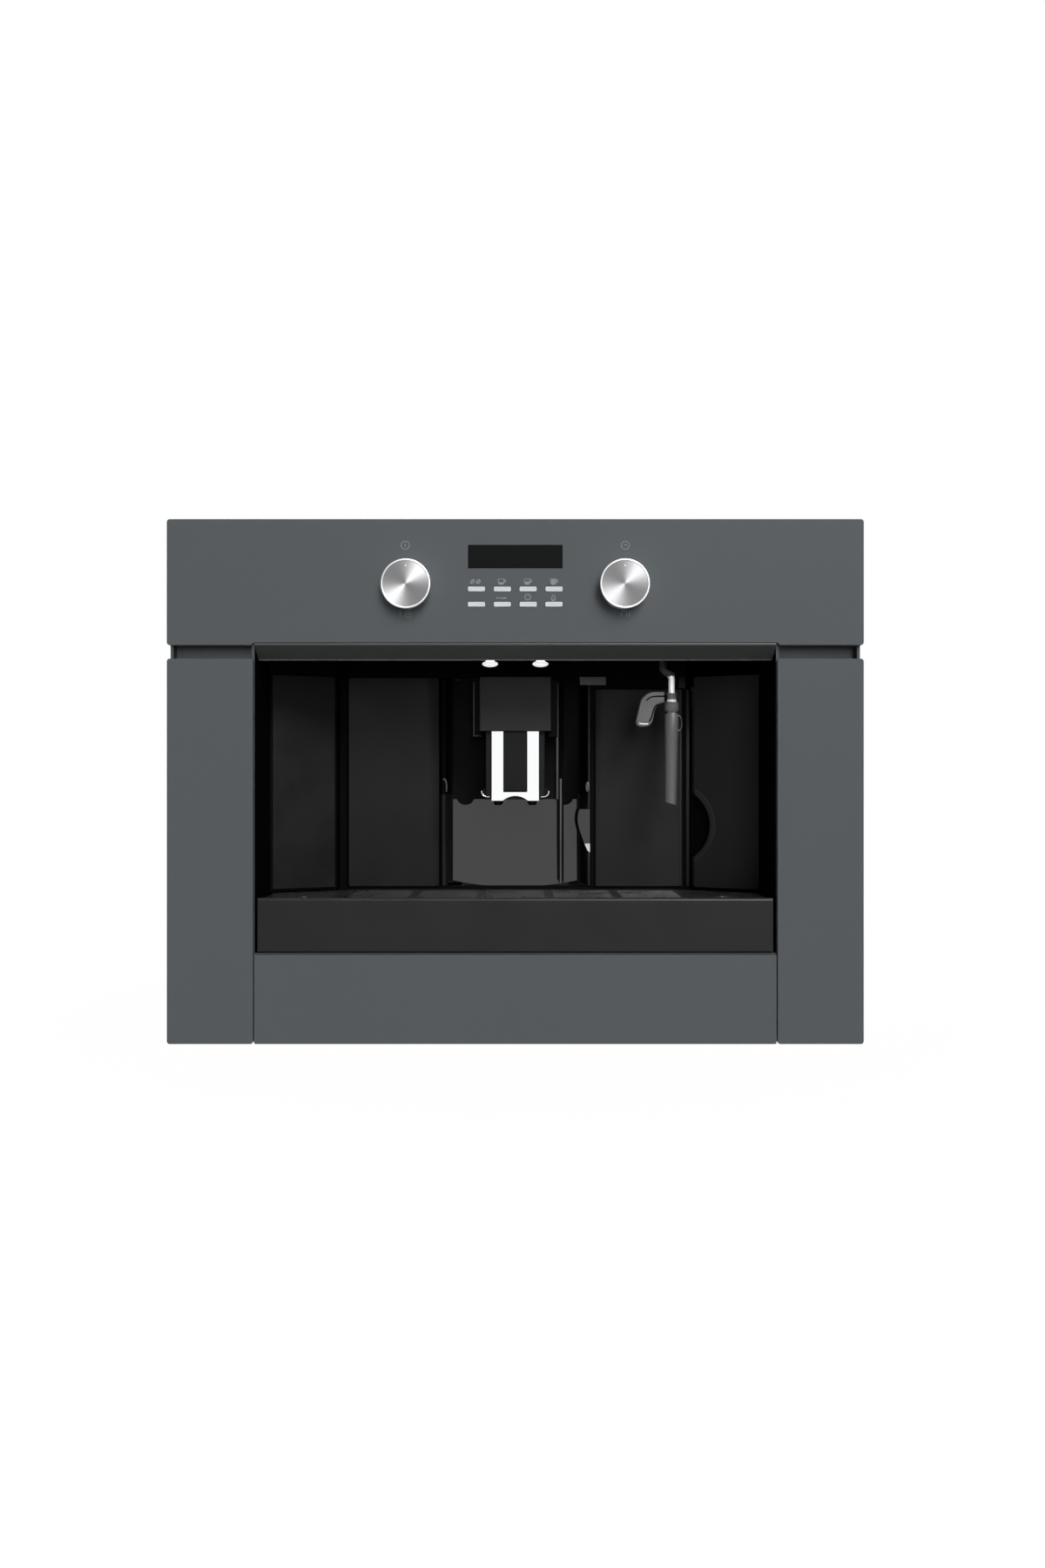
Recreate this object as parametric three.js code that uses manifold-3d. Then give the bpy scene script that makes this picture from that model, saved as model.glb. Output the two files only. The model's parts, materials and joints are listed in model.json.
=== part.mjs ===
// Built-in bean-to-cup coffee machine for a kitchen cabinet niche 560 mm wide and 450 mm high.
// The whole machine rolls out of the cabinet on a pair of telescopic rails, so that the bean
// hopper on top can be filled. In front, a lit alcove holds the cups: a drip tray below, a
// hinged service door with the coffee spout behind, a steam wand at the right, and the front
// of the pull-out water tank at the far right.
// Millimetres, +Z up. The front faces -Y. Y = 0 is the back of the front frame, Z = 0 the lower
// edge of the front, X = 0 the middle. The last lines shift all of it so that the origin is the
// middle of the footprint.
import * as THREE from "three";
import { mergeVertices } from "three/addons/utils/BufferGeometryUtils.js";
import Module from "manifold-3d";

const wasm = await Module();
wasm.setup();

// ---------------------------------------------------------------- fits and gauges
const SEAT_GAP = 0.3; // between two pieces that rest on each other
const RUN_GAP = 0.6; // round anything that slides or turns
const JOINT_GAP = 0.8; // shadow line between two front panels
const MOULD_WALL = 2.5; // wall of a plastic moulding
const SHEET = 1.2; // steel sheet of the casing

// ---------------------------------------------------------------- driving dimensions
// Front
const FRONT_WIDTH = 595;
const FRONT_HEIGHT = 448;
const GLASS = 5;
const GLASS_CORNER = 2.5;
const FRAME_DEPTH = 17;
const FRAME_INSET = 1.7; // how far the black frame stays inside the edge of the glass
const CONTROL_HEIGHT = 107.5;
const GRIP_SLOT = 11.5; // dark slot at each side, where the fingers pull the machine out
const GRIP_DEPTH = 12;
const OPENING_WIDTH = 447;
const LOWER_HEIGHT = 76.3;
const HOOD_RISE = 2.2; // the control glass is this much shorter over the alcove
const HOOD_DROP = 13.3; // fall of the sloping hood lip
// Controls
const KNOB_SPACING = 184;
const KNOB_RISE = 49.5; // this and the next rises are above the lower edge of the control glass
const KNOB_RADIUS = 21;
const KNOB_LENGTH = 20;
const KNOB_SHAFT = 3;
const POINTER_RADIUS = 1;
const POINTER_INSET = 6;
const DISPLAY_WIDTH = 80;
const DISPLAY_HEIGHT = 19.3;
const DISPLAY_RISE = 75.4;
const KEY_WIDTH = 14.6;
const KEY_HEIGHT = 4.2;
const KEY_PITCH = 22.05;
const KEY_COLUMNS = 4;
const KEY_RISES = [47.7, 34.7];
const KEY_PROUD = 0.9;
const KEY_TRAVEL = 0.7;
const BOARD_WIDTH = 236;
const BOARD_RISE = 21.5;
const BOARD_HEIGHT = 72;
const BOARD = 1.6;
// Alcove
const TRAY_GAP = 2.2; // above the lower panel and beside the opening
const TRAY_HEIGHT = 46;
const CEILING_DROP = 4.7; // alcove ceiling below the control glass
const HEADER_HEIGHT = 16.1; // wall above the service door
const ALCOVE_DEPTH = 115; // glass face to the back panels
const WING_OUTER_DEPTH = 75;
const WING_INNER_DEPTH = 105;
const WING_WIDTH = 56.5;
const GROOVE_WIDTH = 9.5;
const GROOVE_DEPTH = 3;
const PANEL = 2; // applied satin panels
const PANEL_TOP_GAP = 16;
const RIGHT_PANEL_TOP_GAP = 27;
const HINGE_SIDE_GAP = 0.4; // from the doorway to the left back panel
const LATCH_SIDE_GAP = 3.8; // from the doorway to the right back panel
const LAMP_SPACING = 45.3;
const LAMP_DEPTH = 60;
const LAMP_RADIUS = 8;
const LAMP_DROP = 11.7;
const LENS_HEIGHT = 7;
const LAMP_STEM = 4;
// Service door and spout
const DOOR_OPENING = 142.5;
const DOOR_DEPTH = 150; // glass face to the flat of the door
const DOOR_WALL = 2.2;
const DOOR_FLAT = 121;
const PULL_RADIUS = 28.4; // round cut in the door's right cheek
const PULL_HEIGHT = 59; // its centre above the foot of the door
const PULL_DEPTH = 6; // its centre behind the door's front edge
const PULL_RISE = 12.9; // from its centre to its level upper edge
const LATCH_TAB = [24.5, 7.6]; // length and height of the tab that opens the latch
const LATCH_RISE = 1.2; // its top above the top of the door
const HINGE_PIN = 1.6;
const HINGE_KNUCKLE = 3;
const HOUSING_WIDTH = 66;
const HOUSING_HEIGHT = 50;
const HOUSING_DEPTH = 80; // glass face to the front of the spout housing
const HOUSING_BACK_WIDTH = 80;
const GUIDE_RIB = 2.2; // rib down the door beside the housing
const GUIDE_DEPTH = 4;
const GUIDE_SLOT = 1.4;
const GUIDE_SHORT_HEIGHT = 101;
const SPOUT_WIDTH = 54.3;
const SPOUT_DROP = 64; // how far the spout hangs below its housing
const SPOUT_ENGAGED = 4; // how much of it stays inside when it hangs lowest
const SPOUT_FOOT = [62.4, 7]; // width and height of the flared foot
const SPOUT_FOOT_RISE = 4.5; // foot above the lower edge of the chrome plate
const TRIM_WIDTH = 44;
const TRIM_WINDOW = 21.3;
const TRIM_BAR = 8.6; // chrome below the window
const TRIM_ARCH = [23, 4.4]; // width and rise of the arch between the outlets
const TRIM = 2.4;
const NOZZLE_SPACING = 31.7;
const NOZZLE_RADIUS = 3.4;
const NOZZLE_BORE = 1.6;
const NOZZLE_LENGTH = 3.8;
// Steam wand
const WAND_X = 132.8;
const WAND_DEPTH = 60;
const WAND_OFFSET = 7.8; // sideways step of the tube
const BEND_DROP = 12; // ceiling to the start of that step
const BEND_LENGTH = 9;
const TUBE_RADIUS = 3.2;
const WAND_LENGTH = 136; // ceiling to the tip of the nozzle
const SLEEVE_LENGTH = 84;
const SLEEVE_TOP_RADIUS = 6.5;
const SLEEVE_TIP_RADIUS = 5.6;
const CLAMP_WALL = 2;
const HUB_RADIUS = 10;
const HUB_DROP = 4;
const GRIP_REACH = 34;
const GRIP_DROP = 30;
const GRIP_THICKNESS = 9;
// Water tank
const TANK_BAY_WIDTH = 63;
const TANK_LENGTH = 200;
const TANK_TOP_GAP = 8; // tank below the top of its cover
const TANK_WALL = 2.2;
const FINGER_RADIUS = 40;
const FINGER_REACH = 18.5; // how far the round finger cut bites into the tank front
const FINGER_HEIGHT = 62; // its centre above the tray
const FINGER_POCKET = 18; // room for the fingertips behind the tank front
// Drip tray
const TRAY_FACE = 4;
const TRAY_WALL = 2;
const TRAY_RECESS = 1.5; // tray face behind the glass face
const GRID = 2.4;
const GRID_DROP = 1.6;
const SLOT_WIDTH = 3.4;
const SLOT_LENGTH = 52;
const SLOT_PITCH = [60, 9]; // along a row, and from row to row
const SLOT_MARGIN = 9; // front and rear edge of the grid to the first slots
const FLOAT_RADIUS = 5;
const FLOAT_X = 184;
const FLOAT_DROP = 2.6; // top of the float below the grid while the tray is empty
// Casing and rails
const CASE_INSET = 34; // sides of the casing inside the edges of the front
const BODY_DEPTH = 389;
const BODY_BOTTOM = 30;
const BODY_TOP_DROP = 38; // top of the side covers below the top of the glass
const STOP_RIB = 14; // ribs behind the front that bear on the cabinet's side walls
const STOP_DEPTH = 2;
const STOP_INSET = 3;
const VENT_SLOT = 4;
const SIDE_VENT_ROWS = 3;
const SIDE_VENT_COLUMNS = 8;
const SIDE_VENT_LENGTH = 30;
const SIDE_VENT_PITCH = [14, 40];
const SIDE_VENT_INSET = [60, 50]; // first slot from the rear and the top
const REAR_VENT_ROWS = 10;
const REAR_VENT_COLUMNS = 3;
const REAR_VENT_LENGTH = 56;
const REAR_VENT_PITCH = [70, 11];
const REAR_VENT_START = [55, 210]; // first slot from the middle and the foot
const BASE_FLANGE = 38;
const COVER_FLANGE = 14;
const FLANGE_GAP = 2;
const RAIL_HEIGHT = 45;
const RAIL_LENGTH = 376;
const RAIL_CENTRE = 98;
const RAIL_SHEET = 1.5;
const RAIL_WIDTH = 12.6;
const RAIL_SCREW = 2.6;
// Inside
const SHELF_SETBACK = 40; // before the rear cover
const BIN_WIDTH = 104;
const BIN_LENGTH = 96;
const BIN_HEIGHT = 44;
const BREW_WIDTH = 74;
const BREW_DEPTH = 84;
const BREW_HEIGHT = 118;
const BOILER_RADIUS = 34;
const BOILER_HEIGHT = 96;
const BOILER_PLACE = [12, 60]; // clear of the shelf's left and front edge
const PUMP_RADIUS = 19;
const PUMP_LENGTH = 92;
const PUMP_SETBACK = 40; // behind the front of the shelf above it
const HOPPER_WIDTH = 150;
const HOPPER_LENGTH = 118;
const HOPPER_DEPTH = 52;
const HOPPER_CENTRE = [-92, 236];
const GRINDER_RADIUS = 33;
const GRINDER_HEIGHT = 86;
const FUNNEL_CENTRE = [58, 236];
const FUNNEL_WIDTH = 62;
const FUNNEL_COLLAR = 14;
const DIAL_CENTRE = [30, 340];
const DIAL_RADIUS = 19;
const INLET_WIDTH = 27;
const INLET_HEIGHT = 20;
const INLET_PLACE = [67.5, 86]; // from the left side of the casing and from the foot of the front

// ---------------------------------------------------------------- places worked out from them
const frontHalf = FRONT_WIDTH / 2;
const openHalf = OPENING_WIDTH / 2;
const frameFront = -FRAME_DEPTH;
const glassBack = frameFront - SEAT_GAP;
const glassFront = glassBack - GLASS;
const controlBottom = FRONT_HEIGHT - CONTROL_HEIGHT;
const sideTop = controlBottom - GRIP_SLOT;
const hoodTop = controlBottom + HOOD_RISE;
const ceiling = hoodTop - CEILING_DROP;
const knobHeight = controlBottom + KNOB_RISE;
const displayCentre = controlBottom + DISPLAY_RISE;
const boardBottom = controlBottom + BOARD_RISE;
const boardTop = boardBottom + BOARD_HEIGHT;
const trayBottom = LOWER_HEIGHT + TRAY_GAP;
const trayTop = trayBottom + TRAY_HEIGHT;
const bayFloor = LOWER_HEIGHT + JOINT_GAP; // the drip tray slides on this
const sill = trayTop + JOINT_GAP;
const alcoveBack = glassFront + ALCOVE_DEPTH;
const wingOuter = glassFront + WING_OUTER_DEPTH;
const wingInner = glassFront + WING_INNER_DEPTH;
const wingEnd = openHalf - WING_WIDTH;
const wingSlope = (wingInner - wingOuter) / WING_WIDTH;
const panelEnd = wingEnd - GROOVE_WIDTH;
const doorOuter = DOOR_OPENING / 2 - JOINT_GAP;
const doorInner = doorOuter - DOOR_WALL;
const doorFlat = glassFront + DOOR_DEPTH;
const doorBottom = sill + JOINT_GAP;
const headerBottom = ceiling - HEADER_HEIGHT;
const doorTop = headerBottom - JOINT_GAP;
const bayLeft = openHalf - TANK_BAY_WIDTH;
const bodyTop = FRONT_HEIGHT - BODY_TOP_DROP;
const bodyHalf = frontHalf - CASE_INSET;
const linerBack = SEAT_GAP; // the liner starts behind the frame

// ---------------------------------------------------------------- shape tools
const Z_TO_Y = new THREE.Matrix4().makeRotationX(Math.PI / 2);
const Z_TO_X = new THREE.Matrix4().makeBasis(
  new THREE.Vector3(0, 1, 0),
  new THREE.Vector3(0, 0, 1),
  new THREE.Vector3(1, 0, 0),
);

// A closed three.js geometry as a manifold solid, with its faces turned outwards.
function solidOf(geometry) {
  const source = geometry.index ? geometry.toNonIndexed() : geometry;
  const bare = new THREE.BufferGeometry();
  bare.setAttribute("position", source.getAttribute("position"));
  const merged = mergeVertices(bare, 1e-4);
  const make = (triVerts) =>
    new wasm.Manifold(
      new wasm.Mesh({ numProp: 3, vertProperties: merged.attributes.position.array, triVerts }),
    );
  const corners = new Uint32Array(merged.index.array);
  const made = make(corners);
  return made.volume() > 0 ? made : make(corners.slice().reverse());
}

function geometryOf(solid) {
  const mesh = solid.getMesh();
  const geometry = new THREE.BufferGeometry();
  geometry.setAttribute("position", new THREE.BufferAttribute(mesh.vertProperties, 3));
  geometry.setIndex(new THREE.BufferAttribute(mesh.triVerts, 1));
  geometry.computeVertexNormals();
  return geometry;
}

const joined = (...solids) => solids.reduce((whole, next) => whole.add(next));
const cut = (solid, ...tools) => tools.reduce((whole, tool) => whole.subtract(tool), solid);

function block([x0, x1], [y0, y1], [z0, z1]) {
  const box = new THREE.BoxGeometry(x1 - x0, y1 - y0, z1 - z0);
  return solidOf(box.translate((x0 + x1) / 2, (y0 + y1) / 2, (z0 + z1) / 2));
}

function extrusion(shape, length, curveSegments) {
  return new THREE.ExtrudeGeometry(shape, { depth: length, bevelEnabled: false, curveSegments });
}

// A shape drawn in X and Y, standing from z0 to z1.
const standing = (shape, [z0, z1], curveSegments = 8) =>
  solidOf(extrusion(shape, z1 - z0, curveSegments).translate(0, 0, z0));

// A shape drawn in X and Z, running from y0 back to y1.
const facing = (shape, [y0, y1], curveSegments = 8) =>
  solidOf(extrusion(shape, y1 - y0, curveSegments).applyMatrix4(Z_TO_Y).translate(0, y1, 0));

// A shape drawn in Y and Z, running across from x0 to x1.
const across = (shape, [x0, x1], curveSegments = 8) =>
  solidOf(extrusion(shape, x1 - x0, curveSegments).applyMatrix4(Z_TO_X).translate(x0, 0, 0));

const outline = (points) => new THREE.Shape(points.map(([u, v]) => new THREE.Vector2(u, v)));

function roundedOutline([u0, u1], [v0, v1], radius) {
  const shape = new THREE.Shape();
  shape.moveTo(u0 + radius, v0);
  shape.absarc(u1 - radius, v0 + radius, radius, -Math.PI / 2, 0);
  shape.absarc(u1 - radius, v1 - radius, radius, 0, Math.PI / 2);
  shape.absarc(u0 + radius, v1 - radius, radius, Math.PI / 2, Math.PI);
  shape.absarc(u0 + radius, v0 + radius, radius, Math.PI, 1.5 * Math.PI);
  return shape;
}

// A turned piece: profile points are [radius, height], about the upright line through (x, y).
function turned(profile, [x, y], segments = 32) {
  const lathe = new THREE.LatheGeometry(
    profile.map(([r, z]) => new THREE.Vector2(r, z)),
    segments,
  );
  return solidOf(lathe.applyMatrix4(Z_TO_Y).translate(x, y, 0));
}

const post = (centre, radius, [z0, z1], segments = 24) =>
  turned([[0, z0], [radius, z0], [radius, z1], [0, z1]], centre, segments);

// A turned piece lying along Y: profile points are [radius, y], about the line at (x, z).
function turnedAlongY(profile, [x, z], segments = 32) {
  const lathe = new THREE.LatheGeometry(
    profile.map(([r, y]) => new THREE.Vector2(r, y)),
    segments,
  );
  return solidOf(lathe.translate(x, 0, z));
}

const rodAlongY = (centre, radius, [y0, y1], segments = 24) =>
  turnedAlongY([[0, y0], [radius, y0], [radius, y1], [0, y1]], centre, segments);

function rodAlongX([y, z], radius, [x0, x1], segments = 24) {
  const lathe = new THREE.LatheGeometry(
    [[0, x0], [radius, x0], [radius, x1], [0, x1]].map(([r, x]) => new THREE.Vector2(r, x)),
    segments,
  );
  return solidOf(lathe.rotateZ(-Math.PI / 2).translate(0, y, z));
}

// An even wall along a line of corners seen from above, thickened to the left of its direction.
function wallOutline(corners, thickness) {
  const points = corners.map(([x, y]) => new THREE.Vector2(x, y));
  const normals = points.slice(1).map((end, i) => {
    const along = end.clone().sub(points[i]).normalize();
    return new THREE.Vector2(-along.y, along.x);
  });
  const offset = points.map((corner, i) => {
    const before = normals[Math.max(i - 1, 0)];
    const after = normals[Math.min(i, normals.length - 1)];
    const mitre = before.clone().add(after).divideScalar(1 + before.dot(after));
    return corner.clone().addScaledVector(mitre, thickness);
  });
  return new THREE.Shape([...points, ...offset.reverse()]);
}

const mirrored = (corners) => corners.map(([x, y]) => [-x, y]).reverse();
const toLeft = (solid) => solid.mirror([1, 0, 0]);

// ---------------------------------------------------------------- finishes
const finish = (colour, roughness, metalness = 0, opacity = 1) =>
  new THREE.MeshStandardMaterial({
    color: colour,
    roughness,
    metalness,
    opacity,
    transparent: opacity < 1,
  });

const greyGlass = finish(0x585c5f, 0.25);
const blackPlastic = finish(0x101010, 0.5);
const darkPlastic = finish(0x2e2e2e, 0.45);
const satinPlastic = finish(0x222222, 0.55);
const glossBlack = finish(0x0a0a0a, 0.08);
const chrome = finish(0xf2f2f2, 0.06, 1);
const spunMetal = finish(0xc9cacb, 0.25, 1);
const zincSteel = finish(0xa8abac, 0.45, 0.9);
const keyGrey = finish(0xcfd3d4, 0.35);
const smokedClear = finish(0x2a2d30, 0.1, 0, 0.5);
const lampWhite = finish(0xf7f7f4, 0.2);
const wandGrey = finish(0x5d5e5f, 0.4);
const boardGreen = finish(0x1f4a33, 0.6);
const floatRed = finish(0xb3201c, 0.5);
const brass = finish(0xb08d57, 0.35, 0.9);
const whitePlastic = finish(0xd8d8d4, 0.5);

const machine = new THREE.Group();

function addPiece(name, solid, material) {
  const mesh = new THREE.Mesh(geometryOf(solid), material);
  mesh.name = name;
  machine.add(mesh);
}

// ---------------------------------------------------------------- telescopic rails
// Three nested channels a side: one screwed to the cabinet, one running between, and one
// screwed to the machine. The outer two open inwards, the inner one outwards.
const railRear = linerBack + RAIL_LENGTH + 4;
const railFront = railRear - RAIL_LENGTH;
const railInside = bodyHalf + SEAT_GAP;
const railOutside = railInside + RAIL_WIDTH;

function channel([x0, x1], halfHeight, webAt) {
  const outer = block([x0, x1], [railFront, railRear], [RAIL_CENTRE - halfHeight, RAIL_CENTRE + halfHeight]);
  const hollow = webAt === x1 ? [x0 - 1, x1 - RAIL_SHEET] : [x0 + RAIL_SHEET, x1 + 1];
  const inside = halfHeight - RAIL_SHEET;
  return cut(
    outer,
    block(hollow, [railFront - 1, railRear + 1], [RAIL_CENTRE - inside, RAIL_CENTRE + inside]),
  );
}

function screwHoles(solid, [x0, x1], count) {
  const step = RAIL_LENGTH / count;
  const holes = Array.from({ length: count }, (_, i) =>
    rodAlongX([railFront + step * (i + 0.5), RAIL_CENTRE], RAIL_SCREW, [x0 - 1, x1 + 1], 16),
  );
  return cut(solid, ...holes);
}

const nested = RAIL_SHEET + RUN_GAP;
const outerHalf = RAIL_HEIGHT / 2;
const outerRail = screwHoles(
  channel([railInside + RAIL_SHEET, railOutside], outerHalf, railOutside),
  [railInside, railOutside],
  4,
);
const middleRail = channel(
  [railInside + RAIL_SHEET, railOutside - nested],
  outerHalf - nested,
  railOutside - nested,
);
const innerRail = screwHoles(
  channel([railInside, railOutside - 2 * nested], outerHalf - 2 * nested, railInside),
  [railInside, railOutside],
  4,
);
addPiece("rail_outer_right", outerRail, zincSteel);
addPiece("rail_outer_left", toLeft(outerRail), zincSteel);
addPiece("rail_middle_right", middleRail, zincSteel);
addPiece("rail_middle_left", toLeft(middleRail), zincSteel);
addPiece("rail_inner_right", innerRail, zincSteel);
addPiece("rail_inner_left", toLeft(innerRail), zincSteel);

// ---------------------------------------------------------------- front frame
// Black moulding that carries the glass and closes the cabinet. The finger slots at its sides
// are hollowed behind the control glass. Two ribs behind it bear on the cabinet's side walls.
function frontFrame() {
  const outer = facing(
    roundedOutline(
      [FRAME_INSET - frontHalf, frontHalf - FRAME_INSET],
      [FRAME_INSET, FRONT_HEIGHT - FRAME_INSET],
      GLASS_CORNER,
    ),
    [frameFront, 0],
  );
  const alcove = block([-openHalf, openHalf], [frameFront - 1, 1], [LOWER_HEIGHT + JOINT_GAP, hoodTop]);
  const controls = block(
    [-BOARD_WIDTH / 2, BOARD_WIDTH / 2],
    [frameFront - 1, 1],
    [boardBottom, boardTop],
  );
  const rebateEdge = 4;
  const boardRebate = block(
    [-BOARD_WIDTH / 2 - rebateEdge, BOARD_WIDTH / 2 + rebateEdge],
    [-BOARD - 2 * SEAT_GAP, 1],
    [boardBottom - rebateEdge, boardTop + rebateEdge],
  );
  const slotEnd = frontHalf - FRAME_INSET + 1;
  const gripSlot = outline([
    [frameFront - 1, sideTop],
    [frameFront + GRIP_DEPTH, sideTop],
    [frameFront + GRIP_DEPTH, controlBottom + GRIP_SLOT / 2],
    [frameFront + GRIP_DEPTH / 2, controlBottom + GRIP_SLOT / 2],
    [frameFront + GRIP_DEPTH / 2, controlBottom],
    [frameFront - 1, controlBottom],
  ]);
  const ribEnd = frontHalf - FRAME_INSET - STOP_INSET;
  const ribSpan = [FRAME_INSET + STOP_INSET, FRONT_HEIGHT - FRAME_INSET - STOP_INSET];
  const stopRib = block([ribEnd - STOP_RIB, ribEnd], [-0.1, STOP_DEPTH], ribSpan);
  return cut(
    joined(outer, stopRib, toLeft(stopRib)),
    alcove,
    controls,
    boardRebate,
    across(gripSlot, [openHalf + MOULD_WALL, slotEnd]),
    across(gripSlot, [-slotEnd, -openHalf - MOULD_WALL]),
  );
}
addPiece("front_frame", frontFrame(), blackPlastic);

// ---------------------------------------------------------------- glass front panels
const glassLayer = [glassFront, glassBack];

// Control glass, with its lower edge raised over the alcove behind two small slanting steps.
function controlGlass() {
  const shape = new THREE.Shape();
  const edge = frontHalf - GLASS_CORNER;
  shape.moveTo(-edge, controlBottom);
  shape.lineTo(-openHalf - HOOD_RISE, controlBottom);
  shape.lineTo(-openHalf, hoodTop);
  shape.lineTo(openHalf, hoodTop);
  shape.lineTo(openHalf + HOOD_RISE, controlBottom);
  shape.absarc(edge, controlBottom + GLASS_CORNER, GLASS_CORNER, -Math.PI / 2, 0);
  shape.absarc(edge, FRONT_HEIGHT - GLASS_CORNER, GLASS_CORNER, 0, Math.PI / 2);
  shape.absarc(-edge, FRONT_HEIGHT - GLASS_CORNER, GLASS_CORNER, Math.PI / 2, Math.PI);
  shape.absarc(-edge, controlBottom + GLASS_CORNER, GLASS_CORNER, Math.PI, 1.5 * Math.PI);
  const through = [glassFront - 1, glassBack + 1];
  const display = block(
    [-DISPLAY_WIDTH / 2 - SEAT_GAP, DISPLAY_WIDTH / 2 + SEAT_GAP],
    through,
    [displayCentre - DISPLAY_HEIGHT / 2 - SEAT_GAP, displayCentre + DISPLAY_HEIGHT / 2 + SEAT_GAP],
  );
  const keyHoles = keyPlaces().map(([x, z]) =>
    block(
      [x - KEY_WIDTH / 2 - SEAT_GAP, x + KEY_WIDTH / 2 + SEAT_GAP],
      through,
      [z - KEY_HEIGHT / 2 - SEAT_GAP, z + KEY_HEIGHT / 2 + SEAT_GAP],
    ),
  );
  const shaftHoles = [-1, 1].map((side) =>
    rodAlongY([(side * KNOB_SPACING) / 2, knobHeight], KNOB_SHAFT + RUN_GAP, through),
  );
  return cut(facing(shape, glassLayer, 4), display, ...keyHoles, ...shaftHoles);
}

// Middle of every key, [x, z], row by row.
function keyPlaces() {
  const first = (-KEY_PITCH * (KEY_COLUMNS - 1)) / 2;
  return KEY_RISES.flatMap((rise) =>
    Array.from({ length: KEY_COLUMNS }, (_, column) => [
      first + column * KEY_PITCH,
      controlBottom + rise,
    ]),
  );
}

addPiece("control_fascia", controlGlass(), greyGlass);
const sideFascia = facing(
  roundedOutline([openHalf + JOINT_GAP / 2, frontHalf], [0, sideTop], GLASS_CORNER),
  glassLayer,
  4,
);
addPiece("side_fascia_right", sideFascia, greyGlass);
addPiece("side_fascia_left", toLeft(sideFascia), greyGlass);
addPiece(
  "lower_fascia",
  facing(
    roundedOutline([JOINT_GAP / 2 - openHalf, openHalf - JOINT_GAP / 2], [0, LOWER_HEIGHT], 1.5),
    glassLayer,
    4,
  ),
  greyGlass,
);

// ---------------------------------------------------------------- display, keys, knobs, board
const boardBack = -SEAT_GAP;
const boardFront = boardBack - BOARD;
const switchFront = glassBack + 5;
const displayBack = glassFront + 3;

addPiece(
  "display_window",
  block(
    [-DISPLAY_WIDTH / 2, DISPLAY_WIDTH / 2],
    [glassFront + 0.2, displayBack],
    [displayCentre - DISPLAY_HEIGHT / 2, displayCentre + DISPLAY_HEIGHT / 2],
  ),
  glossBlack,
);

// Each key is a cap in its slot in the glass, with a stem that ends its travel short of the switch.
keyPlaces().forEach(([x, z], i) => {
  const cap = facing(
    roundedOutline(
      [x - KEY_WIDTH / 2, x + KEY_WIDTH / 2],
      [z - KEY_HEIGHT / 2, z + KEY_HEIGHT / 2],
      0.8,
    ),
    [glassFront - KEY_PROUD, glassBack],
    3,
  );
  const stem = block([x - 2, x + 2], [glassBack - 1, switchFront - KEY_TRAVEL - SEAT_GAP], [z - 1.2, z + 1.2]);
  addPiece(`key_${i + 1}`, joined(cap, stem), keyGrey);
});

// Turned metal knob: dished face, chamfered rim, finger skirt, and a shaft into its encoder.
function knob(x) {
  const face = glassFront - 1 - KNOB_LENGTH;
  const skirt = glassFront - 1;
  const profile = [
    [0, face + 1.4],
    [KNOB_RADIUS - 2.2, face + 0.5],
    [KNOB_RADIUS - 1.6, face],
    [KNOB_RADIUS - 1, face],
    [KNOB_RADIUS, face + 1],
    [KNOB_RADIUS, skirt - 4],
    [KNOB_RADIUS - 1.5, skirt - 3],
    [KNOB_RADIUS - 1.5, skirt],
    [KNOB_SHAFT, skirt],
    [KNOB_SHAFT, switchFront - SEAT_GAP],
    [0, switchFront - SEAT_GAP],
  ];
  const pointer = rodAlongY(
    [x, knobHeight + KNOB_RADIUS - POINTER_INSET],
    POINTER_RADIUS,
    [face - 1, face + 1.2],
    12,
  );
  return cut(turnedAlongY(profile, [x, knobHeight], 40), pointer);
}
addPiece("knob_left", knob(-KNOB_SPACING / 2), spunMetal);
addPiece("knob_right", knob(KNOB_SPACING / 2), spunMetal);

// Circuit board behind the glass with the display module, eight key switches and two encoders.
function controlBoard() {
  const edge = 3;
  const plate = block(
    [-BOARD_WIDTH / 2 - edge, BOARD_WIDTH / 2 + edge],
    [boardFront, boardBack],
    [boardBottom - edge, boardTop + edge],
  );
  const displayModule = block(
    [-DISPLAY_WIDTH / 2 + 2, DISPLAY_WIDTH / 2 - 2],
    [displayBack + SEAT_GAP, boardFront + 0.1],
    [displayCentre - DISPLAY_HEIGHT / 2 + 1, displayCentre + DISPLAY_HEIGHT / 2 - 1],
  );
  const switches = keyPlaces().map(([x, z]) =>
    block([x - 3, x + 3], [switchFront, boardFront + 0.1], [z - 3, z + 3]),
  );
  const encoders = [-1, 1].map((side) => {
    const x = (side * KNOB_SPACING) / 2;
    return block([x - 7, x + 7], [switchFront, boardFront + 0.1], [knobHeight - 7, knobHeight + 7]);
  });
  return joined(plate, displayModule, ...switches, ...encoders);
}
addPiece("control_board", controlBoard(), boardGreen);

// ---------------------------------------------------------------- hood lip
// Dark sloping strip between the control glass and the alcove ceiling.
const lipBack = -SEAT_GAP;
addPiece(
  "hood_lip",
  across(
    outline([
      [glassFront + SEAT_GAP, hoodTop - SEAT_GAP],
      [glassFront + SEAT_GAP, hoodTop - HOOD_RISE],
      [frameFront + FRAME_DEPTH - 3, hoodTop - HOOD_DROP],
      [lipBack, hoodTop - HOOD_DROP],
      [lipBack, hoodTop - SEAT_GAP],
    ]),
    [SEAT_GAP - openHalf, openHalf - SEAT_GAP],
  ),
  darkPlastic,
);

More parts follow.
